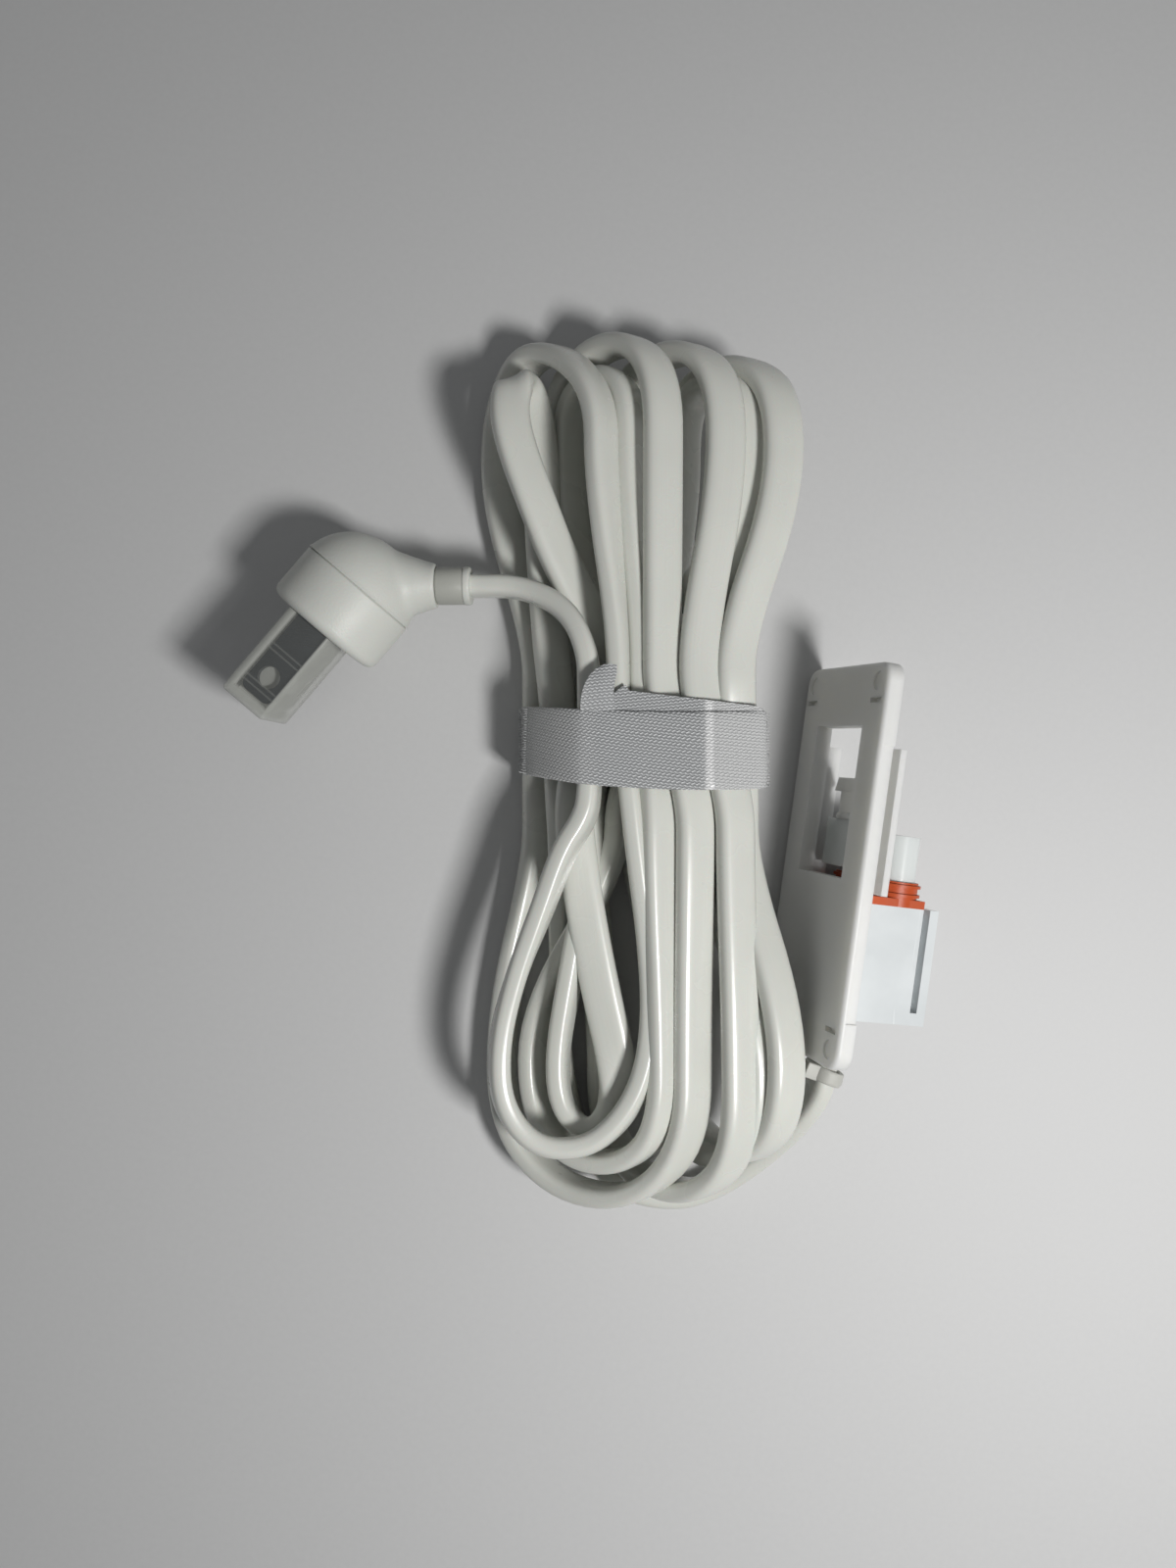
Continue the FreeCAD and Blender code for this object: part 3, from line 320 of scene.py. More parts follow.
def flatOutline(width, thick, groove, count=24):
    # a rounded flat section with a shallow groove down the middle of each face
    points = []
    roundness, grooveHalf = 0.62, 0.7
    for i in range(count):
        angle = 2 * math.pi * (i + 0.5) / count
        x = swell(math.cos(angle), roundness) * width / 2
        z = swell(math.sin(angle), roundness) * thick / 2
        z -= math.copysign(groove * math.exp(-(x / grooveHalf) ** 2), z)
        points.append((x * mm, z * mm))
    return points


def makeCord(facts):
    # a second spline beside the first says which way the flat section is wide
    route = hankRoute()
    beside, leastStep, steps = 3 * mm, 0.2 * mm, 7
    line = splineLine([place for place, wide in route], steps)
    edge = splineLine([place + wide * beside for place, wide in route], steps)
    frames = stationFrames(line, [b - a for a, b in zip(line, edge)])
    cord = sweep("flatCord", frames, flatOutline(facts["width"], facts["thick"], facts["groove"]))
    path = line[:1]
    for place in line:
        if (place - path[-1]).length > leastStep:
            path.append(place)
    return cord, path


cord, cordLine = makeCord(cordFacts)
cordLength = sum((b - a).length for a, b in zip(cordLine, cordLine[1:]))
print("cord made", round(cordLength, 3))

# Plug: base, hood with its arm, grip and end ring, each turned or lofted along its own axis
plugPlace = {"x": -102.858, "y": 28.295, "z": 15.0, "turn": 57.3, "armStart": 10.55}
plugFrame = frameAt(plugPlace)
armFrame = (plugFrame @ Matrix.Translation((plugPlace["armStart"] * mm, 0, 0))
            @ Matrix.Rotation(math.radians(hankPlace["turn"] - plugPlace["turn"]), 4, "Z"))


def quarterArc(centre, radius, start, end, count):
    # points of an arc in a profile, from one angle to another
    points = []
    for i in range(count + 1):
        angle = math.radians(start + (end - start) * i / count)
        points.append((centre[0] + radius * math.cos(angle), centre[1] + radius * math.sin(angle)))
    return points


def turned(name, profile, steps=96):
    # a profile of distance along X and radius, spun round X
    bm = bmesh.new()
    line = [bm.verts.new((x * mm, 0, radius * mm)) for x, radius in profile]
    edges = [bm.edges.new(pair) for pair in zip(line, line[1:])]
    bmesh.ops.spin(bm, geom=line + edges, cent=(0, 0, 0), axis=(1, 0, 0), angle=2 * math.pi, steps=steps,
                   use_merge=True)
    bmesh.ops.remove_doubles(bm, verts=bm.verts, dist=1e-7)
    bmesh.ops.recalc_face_normals(bm, faces=bm.faces)
    return madeFrom(bm, name)


def ovalLoft(name, sections, power=1.0, count=64):
    # oval sections of distance along X, half width and half height, skinned with a rolled grid
    bm = bmesh.new()
    columns = len(sections) - 1
    bmesh.ops.create_grid(bm, x_segments=columns, y_segments=count, size=1)
    for vertex in bm.verts:
        column = round((vertex.co.x + 1) / 2 * columns)
        angle = (vertex.co.y + 1) * math.pi
        along, halfWidth, halfHeight = sections[column]
        across, up = swell(math.cos(angle), power), swell(math.sin(angle), power)
        vertex.co = (along * mm, across * halfWidth * mm, up * halfHeight * mm)
    bmesh.ops.remove_doubles(bm, verts=bm.verts, dist=1e-7)
    closeEnds(bm)
    bmesh.ops.recalc_face_normals(bm, faces=bm.faces)
    return madeFrom(bm, name)


def settle(thing):
    # the piece with its modifiers applied
    graph = bpy.context.evaluated_depsgraph_get()
    mesh = bpy.data.meshes.new_from_object(thing.evaluated_get(graph))
    thing.modifiers.clear()
    old = thing.data
    thing.data = mesh
    bpy.data.meshes.remove(old)
    mesh.name = thing.name


# the edge at the seam: distance from the wall's end, and how much less than the radius
baseFacts = {"radius": 11.1, "length": 10.2, "round": 1.7, "seam": 0.22, "neck": 0.3, "neckStep": 0.3,
             "edge": ((-0.25, 0.0), (-0.06, 0.05), (0.0, 0.14), (0.02, 0.3))}


def makePlugBase(facts):
    radius, corner = facts["radius"], facts["round"]
    profile = [(0.0, 0.0)] + [(0.0, radius * share) for share in (0.3, 0.6)]
    profile += quarterArc((corner, radius - corner), corner, 180, 90, 8)
    wall, end = facts["length"] - facts["seam"], facts["length"] + facts["neck"]
    profile += [(wall + along, radius - less) for along, less in facts["edge"]]
    profile += [(end, radius - facts["neckStep"]), (end, radius * 0.5), (end, 0.0)]
    base = turned("plugBody", profile)
    base.data.transform(plugFrame)
    return base


hoodFacts = {"radius": 11.1, "start": 10.2, "dome": 9.4, "tuck": 1.0, "lip": 0.14, "lipRun": 0.5, "rim": 1.2,
             "voxel": 0.3, "sharp": 50,
             "arm": ((1.5, 7.5, 7.2), (4.0, 7.1, 6.9), (6.0, 6.5, 6.6), (8.0, 5.85, 6.2), (10.0, 5.1, 5.8),
                     (12.0, 4.4, 5.45), (13.45, 4.0, 5.25), (13.7, 3.9, 5.15), (13.75, 3.65, 4.9))}
# the junction that is softened: its range along the arm, off the dome and away from the arm's axis, and
# where it and the whole skin begin along the plug
creaseFacts = {"along": (1.5, 10.5), "offDome": (-1.5, 1.9), "aside": 10.5, "begin": 11.2, "rounds": 26,
               "skinBegin": 11.0, "skinEnd": 13.0, "skinRounds": 3}


def softenHood(bm, toArm, centre, capRadius, facts):
    def soften(verts):
        bmesh.ops.smooth_vert(bm, verts=verts, factor=0.5, use_axis_x=True, use_axis_y=True, use_axis_z=True)

    crease = []
    for vertex in bm.verts:
        local = toArm @ vertex.co
        checks = ((local.x, facts["along"]), ((vertex.co - centre).length - capRadius * mm, facts["offDome"]))
        if all(low * mm < value < high * mm for value, (low, high) in checks):
            aside = Vector((local.y, local.z)).length
            if vertex.co.x > facts["begin"] * mm and aside < facts["aside"] * mm:
                crease.append(vertex)
    for i in range(facts["rounds"]):
        soften(crease)
    for i in range(facts["skinRounds"]):
        soften([vertex for vertex in bm.verts
                if vertex.co.x > facts["skinBegin"] * mm and (toArm @ vertex.co).x < facts["skinEnd"] * mm])


def makePlugHood(facts):
    radius, rise, start = facts["radius"], facts["dome"], facts["start"]
    capRadius = (radius ** 2 + rise ** 2) / (2 * rise)
    middle = start + rise - capRadius
    first = math.degrees(math.asin((start - middle) / capRadius))
    profile = [(start - facts["tuck"], 0.0), (start - facts["tuck"], radius)]
    profile += [(middle + x, y) for y, x in quarterArc((0, 0), capRadius, first, 90, 30)]
    profile[-1] = (middle + capRadius, 0.0)
    hood = turned("plugHoodSkin", profile)
    arm = ovalLoft("plugArm", facts["arm"])
    arm.data.transform(plugFrame.inverted() @ armFrame)
    join = hood.modifiers.new("join", "BOOLEAN")
    join.operation = "UNION"
    join.solver = "EXACT"
    join.object = arm
    even = hood.modifiers.new("even", "REMESH")
    even.mode = "VOXEL"
    even.voxel_size = facts["voxel"] * mm
    settle(hood)
    bpy.data.objects.remove(arm)

    bm = bmesh.new()
    bm.from_mesh(hood.data)
    softenHood(bm, armFrame.inverted() @ plugFrame, Vector((middle * mm, 0, 0)), capRadius, creaseFacts)
    bmesh.ops.bisect_plane(bm, geom=bm.verts[:] + bm.edges[:] + bm.faces[:], plane_co=(start * mm, 0, 0),
                           plane_no=(1, 0, 0), clear_inner=True)
    closeEnds(bm)
    bmesh.ops.recalc_face_normals(bm, faces=bm.faces)

    # a slight lip at the seam
    for vertex in bm.verts:
        near = (vertex.co.x - start * mm) / (facts["lipRun"] * mm)
        if near < 1 and Vector((vertex.co.y, vertex.co.z)).length > (radius - facts["rim"]) * mm:
            scale = 1 + facts["lip"] / radius * (1 - max(near, 0.0))
            vertex.co.y *= scale
            vertex.co.z *= scale
    bm.to_mesh(hood.data)
    bm.free()
    hood.data.shade_smooth()
    hood.data.set_sharp_from_angle(angle=math.radians(facts["sharp"]))
    hood.data.transform(plugFrame)
    return hood


gripFacts = {"plugGrip": ((11.8, 2.55, 4.0), (13.78, 2.55, 4.0), (13.8, 3.05, 4.5), (13.95, 3.22, 4.67),
                          (14.2, 3.27, 4.72), (16.4, 3.27, 4.72), (18.5, 3.25, 4.7), (18.64, 3.2, 4.64),
                          (18.66, 3.1, 4.54), (18.8, 3.1, 4.54)),
             "plugEndRing": ((18.66, 2.9, 4.4), (18.68, 3.16, 4.6), (18.74, 3.28, 4.74), (19.0, 3.34, 4.8),
                             (19.6, 3.34, 4.8), (19.85, 3.26, 4.72), (19.97, 3.08, 4.54), (19.99, 2.5, 3.9))}
gripFill = 0.86


def makeGrip(facts):
    # the grey grip and the white ring at its end, on the arm's axis
    made = []
    for name, sections in facts.items():
        thing = ovalLoft(name, sections, power=gripFill)
        thing.data.transform(armFrame)
        made.append(thing)
    return made


plugBody = makePlugBase(baseFacts)
plugHoodSkin = makePlugHood(hoodFacts)
plugGrip, plugEndRing = makeGrip(gripFacts)
print("plug made")


# Blade cover: a frosted box with a divider between the blades and pairs of raised lines. Its upper face
# is wider by the draft on the outer side
coverFacts = {"length": 18.3, "start": -0.1, "width": 8.4, "height": 16.4, "wall": 0.7, "round": 0.8,
              "draft": 0.9, "draftFrom": (3.4, 5.5), "divider": (-17.6, -1.2, 6.6, 11.0),
              "lines": (6.4, 7.4, 13.3, 14.3), "line": 0.22, "lineWidth": 0.32, "lineHalf": 3.3,
              "lineSink": 0.1}


def boxAt(bm, low, high):
    middle = (Vector(low) + Vector(high)) / 2 * mm
    size = (Vector(high) - Vector(low)) * mm
    made = bmesh.ops.create_cube(bm, size=1)
    bmesh.ops.scale(bm, vec=size, verts=made["verts"])
    bmesh.ops.translate(bm, vec=middle, verts=made["verts"])


def makeCover(facts):
    bm = bmesh.new()
    start, tip = facts["start"], facts["start"] - facts["length"]
    halfWidth, halfHeight, wall = facts["width"] / 2, facts["height"] / 2, facts["wall"]
    touch = 0.01 * mm
    boxAt(bm, (tip, -halfWidth, -halfHeight), (start, halfWidth, halfHeight))
    mouth = [face for face in bm.faces if min(vertex.co.x for vertex in face.verts) > start * mm - touch]
    bmesh.ops.inset_region(bm, faces=mouth, thickness=wall * mm, use_even_offset=True)
    for face in bmesh.ops.extrude_discrete_faces(bm, faces=mouth)["faces"]:
        bmesh.ops.translate(bm, vec=((wall - facts["length"]) * mm, 0, 0), verts=face.verts)

    # the outer edges are rounded, except those round the mouth
    outer = []
    for edge in bm.edges:
        shares = [max(abs(vertex.co.y) / halfWidth, abs(vertex.co.z) / halfHeight) / mm
                  for vertex in edge.verts]
        behind = [abs(vertex.co.x - start * mm) > touch for vertex in edge.verts]
        if min(shares) > 0.999 and any(behind):
            outer.append(edge)
    bmesh.ops.bevel(bm, geom=outer, offset=facts["round"] * mm, offset_type="OFFSET", affect="EDGES",
                    segments=4, profile=0.5, material=-1, clamp_overlap=True)

    back, front, across, tall = facts["divider"]
    boxAt(bm, (back, -across / 2, -tall / 2), (front, across / 2, tall / 2))
    for along in facts["lines"]:
        for side in (1, -1):
            low, high = sorted((side * (halfHeight - facts["lineSink"]), side * (halfHeight + facts["line"])))
            boxAt(bm, (start - along - facts["lineWidth"], -facts["lineHalf"], low),
                  (start - along, facts["lineHalf"], high))
    outerSide, upper = facts["draftFrom"]
    for vertex in bm.verts:
        if vertex.co.y > outerSide * mm and vertex.co.z > upper * mm:
            vertex.co.y += facts["draft"] * mm
    bmesh.ops.recalc_face_normals(bm, faces=bm.faces)
    cover = madeFrom(bm, "clearCover", sharp=40)
    cover.data.transform(plugFrame)
    return cover


clearCover = makeCover(coverFacts)
print("cover made")


# Strap: a band of hook cloth round the waist of the hank, the layer under its end, and the free tab
strapFacts = {"width": 13.4, "thick": 0.8, "steps": 10, "middle": (9, 6.4, 12)}
# the hooks' length, spacing, radii at root and tip, and how far up they start; they stand where the band is
# this steep, and clear of the table
hookFacts = {"length": 0.75, "pitch": 0.52, "root": 0.17, "tip": 0.04, "lift": 0.2, "sink": 0.8,
             "within": 0.97, "steep": 0.42, "clear": 2.0, "sway": (0.25, 0.2), "swayTurns": (7.3, 1.9, 5.1)}
# round the hank: x, height, middle of the band and its width
strapBand = [
    (-12.2, 5.2, 8.2, 12.3), (-12.3, 1.6, 8.2, 12.4), (-9.4, 0.75, 7.4, 12.8), (0.0, 0.75, 6.4, 13.4),
    (9.2, 0.75, 6.2, 13.4), (13.0, 1.6, 6.0, 13.4), (22.8, 6.6, 6.0, 13.4), (25.8, 8.2, 6.0, 13.4),
    (28.2, 11.5, 6.0, 13.4), (30.6, 17.0, 6.0, 13.4), (31.2, 20.8, 6.0, 13.4), (30.2, 22.7, 5.9, 13.4),
    (27.0, 23.4, 5.8, 13.5), (21.8, 24.4, 5.7, 13.5), (20.4, 24.5, 5.7, 13.5), (14.0, 24.4, 5.7, 13.4),
    (6.0, 24.4, 6.0, 13.2), (0.5, 24.4, 6.3, 12.9), (-2.4, 23.7, 6.6, 12.8), (-6.8, 19.6, 7.2, 12.6),
    (-11.6, 12.6, 7.9, 12.4),
]


def inHank(x, y, z):
    return hankFrame @ (Vector((x, y, z)) * mm)


def ribbonOutline(width, thick, count=28):
    # a flat section with full corners
    points = []
    acrossFill, depthFill = 0.35, 0.7
    for i in range(count):
        angle = 2 * math.pi * (i + 0.5) / count
        across, depth = swell(math.cos(angle), acrossFill), swell(math.sin(angle), depthFill)
        points.append((across * width / 2 * mm, depth * thick / 2 * mm))
    return points


def makeHooks(frames, half, rise, centre, facts):
    # a fringe where the band turns down at each side of the hank
    count = round(2 * half / mm / facts["pitch"])
    onward, upward = facts["sway"]
    eachHook, eachRow, eachRise = facts["swayTurns"]
    bm = bmesh.new()
    travelled, due = 0.0, 0.0
    for number, (place, wide, thin) in enumerate(frames):
        if number:
            travelled += (place - frames[number - 1][0]).length
        away = thin if thin.dot(place - centre) > 0 else -thin
        if travelled < due or abs(away.z) > facts["steep"] or place.z < facts["clear"] * mm:
            continue
        due = travelled + facts["pitch"] * mm
        for i in range(count):
            share = (i + 0.5) / count * 2 - 1
            root = place + wide * share * half * facts["within"] + away * rise * facts["sink"]
            sway = Vector((0, onward * math.sin(eachHook * i + eachRow * number),
                           upward * math.cos(eachRise * i)))
            stand = (away + sway).normalized()
            turn = stand.to_track_quat("Z", "X").to_matrix().to_4x4()
            bmesh.ops.create_cone(bm, cap_ends=True, segments=4, radius1=facts["root"] * mm,
                                  radius2=facts["tip"] * mm, depth=facts["length"] * mm,
                                  matrix=Matrix.Translation(root + stand * facts["lift"] * mm) @ turn)
    layer = bm.verts.layers.float_vector.new("runAlong")
    for vertex in bm.verts:
        vertex[layer] = vertex.co
    return madeFrom(bm, "strapHooks", smooth=False)


def makeStrap(facts):
    def bandLine(side):
        places = [inHank(x, middle + side * width / 2, z) for x, z, middle, width in strapBand]
        return splineLine(places, facts["steps"], closed=True)

    line, edge = bandLine(0), bandLine(1)
    halves = [b - a for a, b in zip(line, edge)]
    half = facts["width"] / 2 * mm
    frames = [(place, wide * (reach.length / half), thin)
              for (place, wide, thin), reach in zip(stationFrames(line, halves, closed=True), halves)]
    band = sweep("clothStrap", frames, ribbonOutline(facts["width"], facts["thick"]), closed=True)
    hooks = makeHooks(frames, half, facts["thick"] / 2 * mm, inHank(*facts["middle"]), hookFacts)
    return band, hooks


def between(table, value):
    # straight between the rows of a table of pairs
    for (x0, y0), (x1, y1) in zip(table, table[1:]):
        if value <= x1:
            break
    share = min(max((value - x0) / (x1 - x0), 0), 1)
    return y0 + (y1 - y0) * share


def clothPatch(name, columns, rows, thick, placeAt):
    bm = bmesh.new()
    bmesh.ops.create_grid(bm, x_segments=columns, y_segments=rows, size=1)
    layer = bm.verts.layers.float_vector.new("runAlong")
    for vertex in bm.verts:
        place = Vector(placeAt((vertex.co.x + 1) / 2, (vertex.co.y + 1) / 2))
        vertex.co = hankFrame @ (place * mm)
        vertex[layer] = place * mm
    bmesh.ops.recalc_face_normals(bm, faces=bm.faces)
    bmesh.ops.solidify(bm, geom=bm.faces, thickness=thick * mm)
    bmesh.ops.recalc_face_normals(bm, faces=bm.faces)
    return madeFrom(bm, name, sharp=40)


# the layer's left end, length and hidden edge, then its upper edge and height against x, and then the tab
layerFacts = {"left": 4.2, "run": 26.6, "hidden": 9.0,
              "top": ((4.2, 15.4), (5.6, 16.6), (6.5, 17.1), (7.0, 16.1), (17.0, 14.9), (29.5, 13.5),
                      (31.0, 13.0)),
              "height": ((4.2, 24.1), (14.0, 24.0), (20.5, 24.1), (27.0, 23.1), (30.0, 22.5), (31.0, 21.2))}
tabFacts = {"hidden": 11.6, "run": 8.8, "left": -1.3, "right": 4.9, "roundFrom": 13.2, "roundRun": 7.3,
            "roundIn": 4.9, "hollow": 0.5, "height": 23.7, "rise": 2.6, "riseRun": 7, "crown": 0.25}


def layerPlace(along, across):
    facts = layerFacts
    x = facts["left"] + along * facts["run"]
    y = facts["hidden"] + across * (between(facts["top"], x) - facts["hidden"])
    return x, y, between(facts["height"], x)


def tabPlace(along, across):
    # round at its upper left, a little hollow at its right, and rising towards its end
    facts = tabFacts
    y = facts["hidden"] + across * facts["run"]
    bend = min(max((y - facts["roundFrom"]) / facts["roundRun"], 0), 0.995)
    left = facts["left"] + facts["roundIn"] * (1 - math.sqrt(1 - bend ** 2))
    right = facts["right"] - facts["hollow"] * math.sin(math.pi * min(across * 1.2, 1))
    lift = facts["rise"] * math.sin(math.pi / 2 * min((y - facts["hidden"]) / facts["riseRun"], 1))
    crown = facts["crown"] * math.sin(math.pi * along)
    return left + (right - left) * along, y, facts["height"] + lift + crown


strapThings = [*makeStrap(strapFacts),
               clothPatch("strapLayer", columns=70, rows=8, thick=0.6, placeAt=layerPlace),
               clothPatch("strapTab", columns=10, rows=20, thick=0.5, placeAt=tabPlace)]
print("strap made")


# Nylon tie: a band round the lead where it leaves the housing, its square head and a cut end
tieFacts = {"place": (-2.5, -38.3, 13.9), "turn": -14, "lean": 16.1, "width": 2.6, "thick": 0.9,
            "across": 4.1, "depth": 2.5, "squareness": 0.8, "stations": 28, "round": 0.25,
            "head": ((-4.9, -1.5, -0.6), (-2.2, 1.3, 2.8)), "end": ((2.6, -1.3, 0.4), (3.9, -0.1, 1.2))}


def makeTie(facts):
    tieFrame = (Matrix.Translation(Vector(facts["place"]) * mm)
                @ Matrix.Rotation(math.radians(facts["turn"]), 4, "Z")
                @ Matrix.Rotation(math.radians(facts["lean"]), 4, "Y"))
    ring = []
    for i in range(facts["stations"]):
        angle = 2 * math.pi * i / facts["stations"]
        x = swell(math.cos(angle), facts["squareness"]) * facts["depth"]
        z = swell(math.sin(angle), facts["squareness"]) * facts["across"]
        ring.append(tieFrame @ (Vector((x, 0, z)) * mm))
    along = tieFrame.to_3x3() @ Vector((0, 1, 0))
    frames = stationFrames(ring, [along] * len(ring), closed=True)
    tie = sweep("nylonTie", frames, ribbonOutline(facts["width"], facts["thick"], 16), closed=True)
    bm = bmesh.new()
    for low, high in (facts["head"], facts["end"]):
        boxAt(bm, low, high)
    bmesh.ops.bevel(bm, geom=bm.edges[:], offset=facts["round"] * mm, offset_type="OFFSET", affect="EDGES",
                    segments=3, profile=0.5, material=-1)
    bmesh.ops.transform(bm, matrix=tieFrame, verts=bm.verts)
    bm.from_mesh(tie.data)
    bmesh.ops.recalc_face_normals(bm, faces=bm.faces)
    bm.to_mesh(tie.data)
    bm.free()
    tie.data.shade_smooth()
    tie.data.set_sharp_from_angle(angle=math.radians(40))
    return tie


nylonTie = makeTie(tieFacts)
print("tie made")


# Finishes
def addNode(tree, kind, **values):
    # a socket takes a value or another node's output, and any other name is the node's own setting
    node = tree.nodes.new(kind)
    for name, value in values.items():
        if name not in node.inputs:
            setattr(node, name, value)
        elif isinstance(value, bpy.types.NodeSocket):
            tree.links.new(value, node.inputs[name])
        else:
            node.inputs[name].default_value = value
    return node


def objectPlace(tree):
    return addNode(tree, "ShaderNodeTexCoord").outputs["Object"]


def mapped(tree, place, **values):
    return addNode(tree, "ShaderNodeMapping", Vector=place, **values).outputs["Vector"]


def noiseOn(tree, place, scale, **values):
    return addNode(tree, "ShaderNodeTexNoise", Vector=place, Scale=scale, **values).outputs["Fac"]


def rangeNode(tree, source, low, high, start=0.0, end=1.0):
    values = {"Value": source, "From Min": start, "From Max": end, "To Min": low, "To Max": high}
    return addNode(tree, "ShaderNodeMapRange", **values).outputs["Result"]


def calculate(tree, operation, *values):
    # arithmetic on numbers and other nodes' outputs
    node = addNode(tree, "ShaderNodeMath", operation=operation)
    for socket, value in zip(node.inputs, values):
        if isinstance(value, bpy.types.NodeSocket):
            tree.links.new(value, socket)
        else:
            socket.default_value = value
    return node.outputs[0]


def mixColour(tree, factor, first, second):
    # a mix of two colours, each given as a colour or as another node's output
    node = addNode(tree, "ShaderNodeMix", data_type="RGBA")
    tree.links.new(factor, node.inputs[0])
    for socket, value in ((node.inputs[6], first), (node.inputs[7], second)):
        if isinstance(value, bpy.types.NodeSocket):
            tree.links.new(value, socket)
        else:
            socket.default_value = (*value, 1)
    return node.outputs[2]


def axesIn(tree, facts):
    # X, Y and Z in the frame of a placed part
    local = mapped(tree, objectPlace(tree), vector_type="TEXTURE",
                   Location=(facts["x"] * mm, facts["y"] * mm, facts["z"] * mm),
                   Rotation=(0, 0, math.radians(facts["turn"])))
    return addNode(tree, "ShaderNodeSeparateXYZ", Vector=local).outputs


def startMaterial(name, constants):
    material = bpy.data.materials.new(name)
    material.use_nodes = True
    shader = material.node_tree.nodes["Principled BSDF"]
    for socket, value in constants.items():
        shader.inputs[socket].default_value = value
    return material, material.node_tree, shader


def joinShader(tree, shader, colour, rough, height, strength, distance):
    # colour, roughness and relief go into the shader
    bump = addNode(tree, "ShaderNodeBump", Strength=strength, Distance=distance, Height=height)
    for source, socket in ((colour, "Base Color"), (rough, "Roughness"), (bump.outputs["Normal"], "Normal")):
        tree.links.new(source, shader.inputs[socket])


def mouldedSkinGroup():
    # slow clouds of tone, a fine grain and a few hairline scuffs, as moulded plastic has
    group = bpy.data.node_groups.new("mouldedSkin", "ShaderNodeTree")
    group.interface.new_socket(name="Place", in_out="INPUT", socket_type="NodeSocketVector")
    for way, labels in (("INPUT", ("Cloud Scale", "Grain Scale", "Scuff Scale")),
                        ("OUTPUT", ("Tone", "Height", "Scuff"))):
        for label in labels:
            group.interface.new_socket(name=label, in_out=way, socket_type="NodeSocketFloat")
    given = group.nodes.new("NodeGroupInput").outputs
    made = group.nodes.new("NodeGroupOutput").inputs
    place = given["Place"]
    drawn = mapped(group, place, Rotation=(0.3, 0.2, 0.6), Scale=(1.0, 0.06, 1.0))
    scratch = noiseOn(group, drawn, given["Scuff Scale"], Detail=4.0, Roughness=0.7, Distortion=0.4)
    parts = {"Tone": noiseOn(group, place, given["Cloud Scale"], Detail=3.0, Roughness=0.55),
             "Height": noiseOn(group, place, given["Grain Scale"], Detail=2.0, Roughness=0.6),
             "Scuff": rangeNode(group, scratch, 0.0, 1.0, 0.64, 0.72)}
    for label, source in parts.items():
        group.links.new(source, made[label])
    return group


mouldedSkin = mouldedSkinGroup()
# the values between which most of a noise lies, and how much rougher a scuff is
noiseSpread = (0.3, 0.7)
scuffRough = 0.12


def mouldedPlastic(name, look, constants):
    material, tree, shader = startMaterial(name, constants)
    skin = addNode(tree, "ShaderNodeGroup", node_tree=mouldedSkin, Place=objectPlace(tree),
                   **{part + " Scale": look[part.lower()] for part in ("Cloud", "Grain", "Scuff")})
    cloud, scuff = skin.outputs["Tone"], skin.outputs["Scuff"]
    tone = rangeNode(tree, cloud, 0.0, 1.0, *noiseSpread)
    # painted highlight: where a look asks for it, bright glossy streaks along the scuff lines are painted
    # into the colour
    if "paintedGlossStreaks" in look:
        tone = calculate(tree, "MULTIPLY_ADD", scuff, look["paintedGlossStreaks"], tone)
    rough = calculate(tree, "ADD", rangeNode(tree, cloud, *look["rough"], *noiseSpread),
                      rangeNode(tree, scuff, 0.0, scuffRough))
    colour = mixColour(tree, tone, look["colour"], look["shade"])
    joinShader(tree, shader, colour, rough, skin.outputs["Height"], look["bump"], 0.0002)
    return material


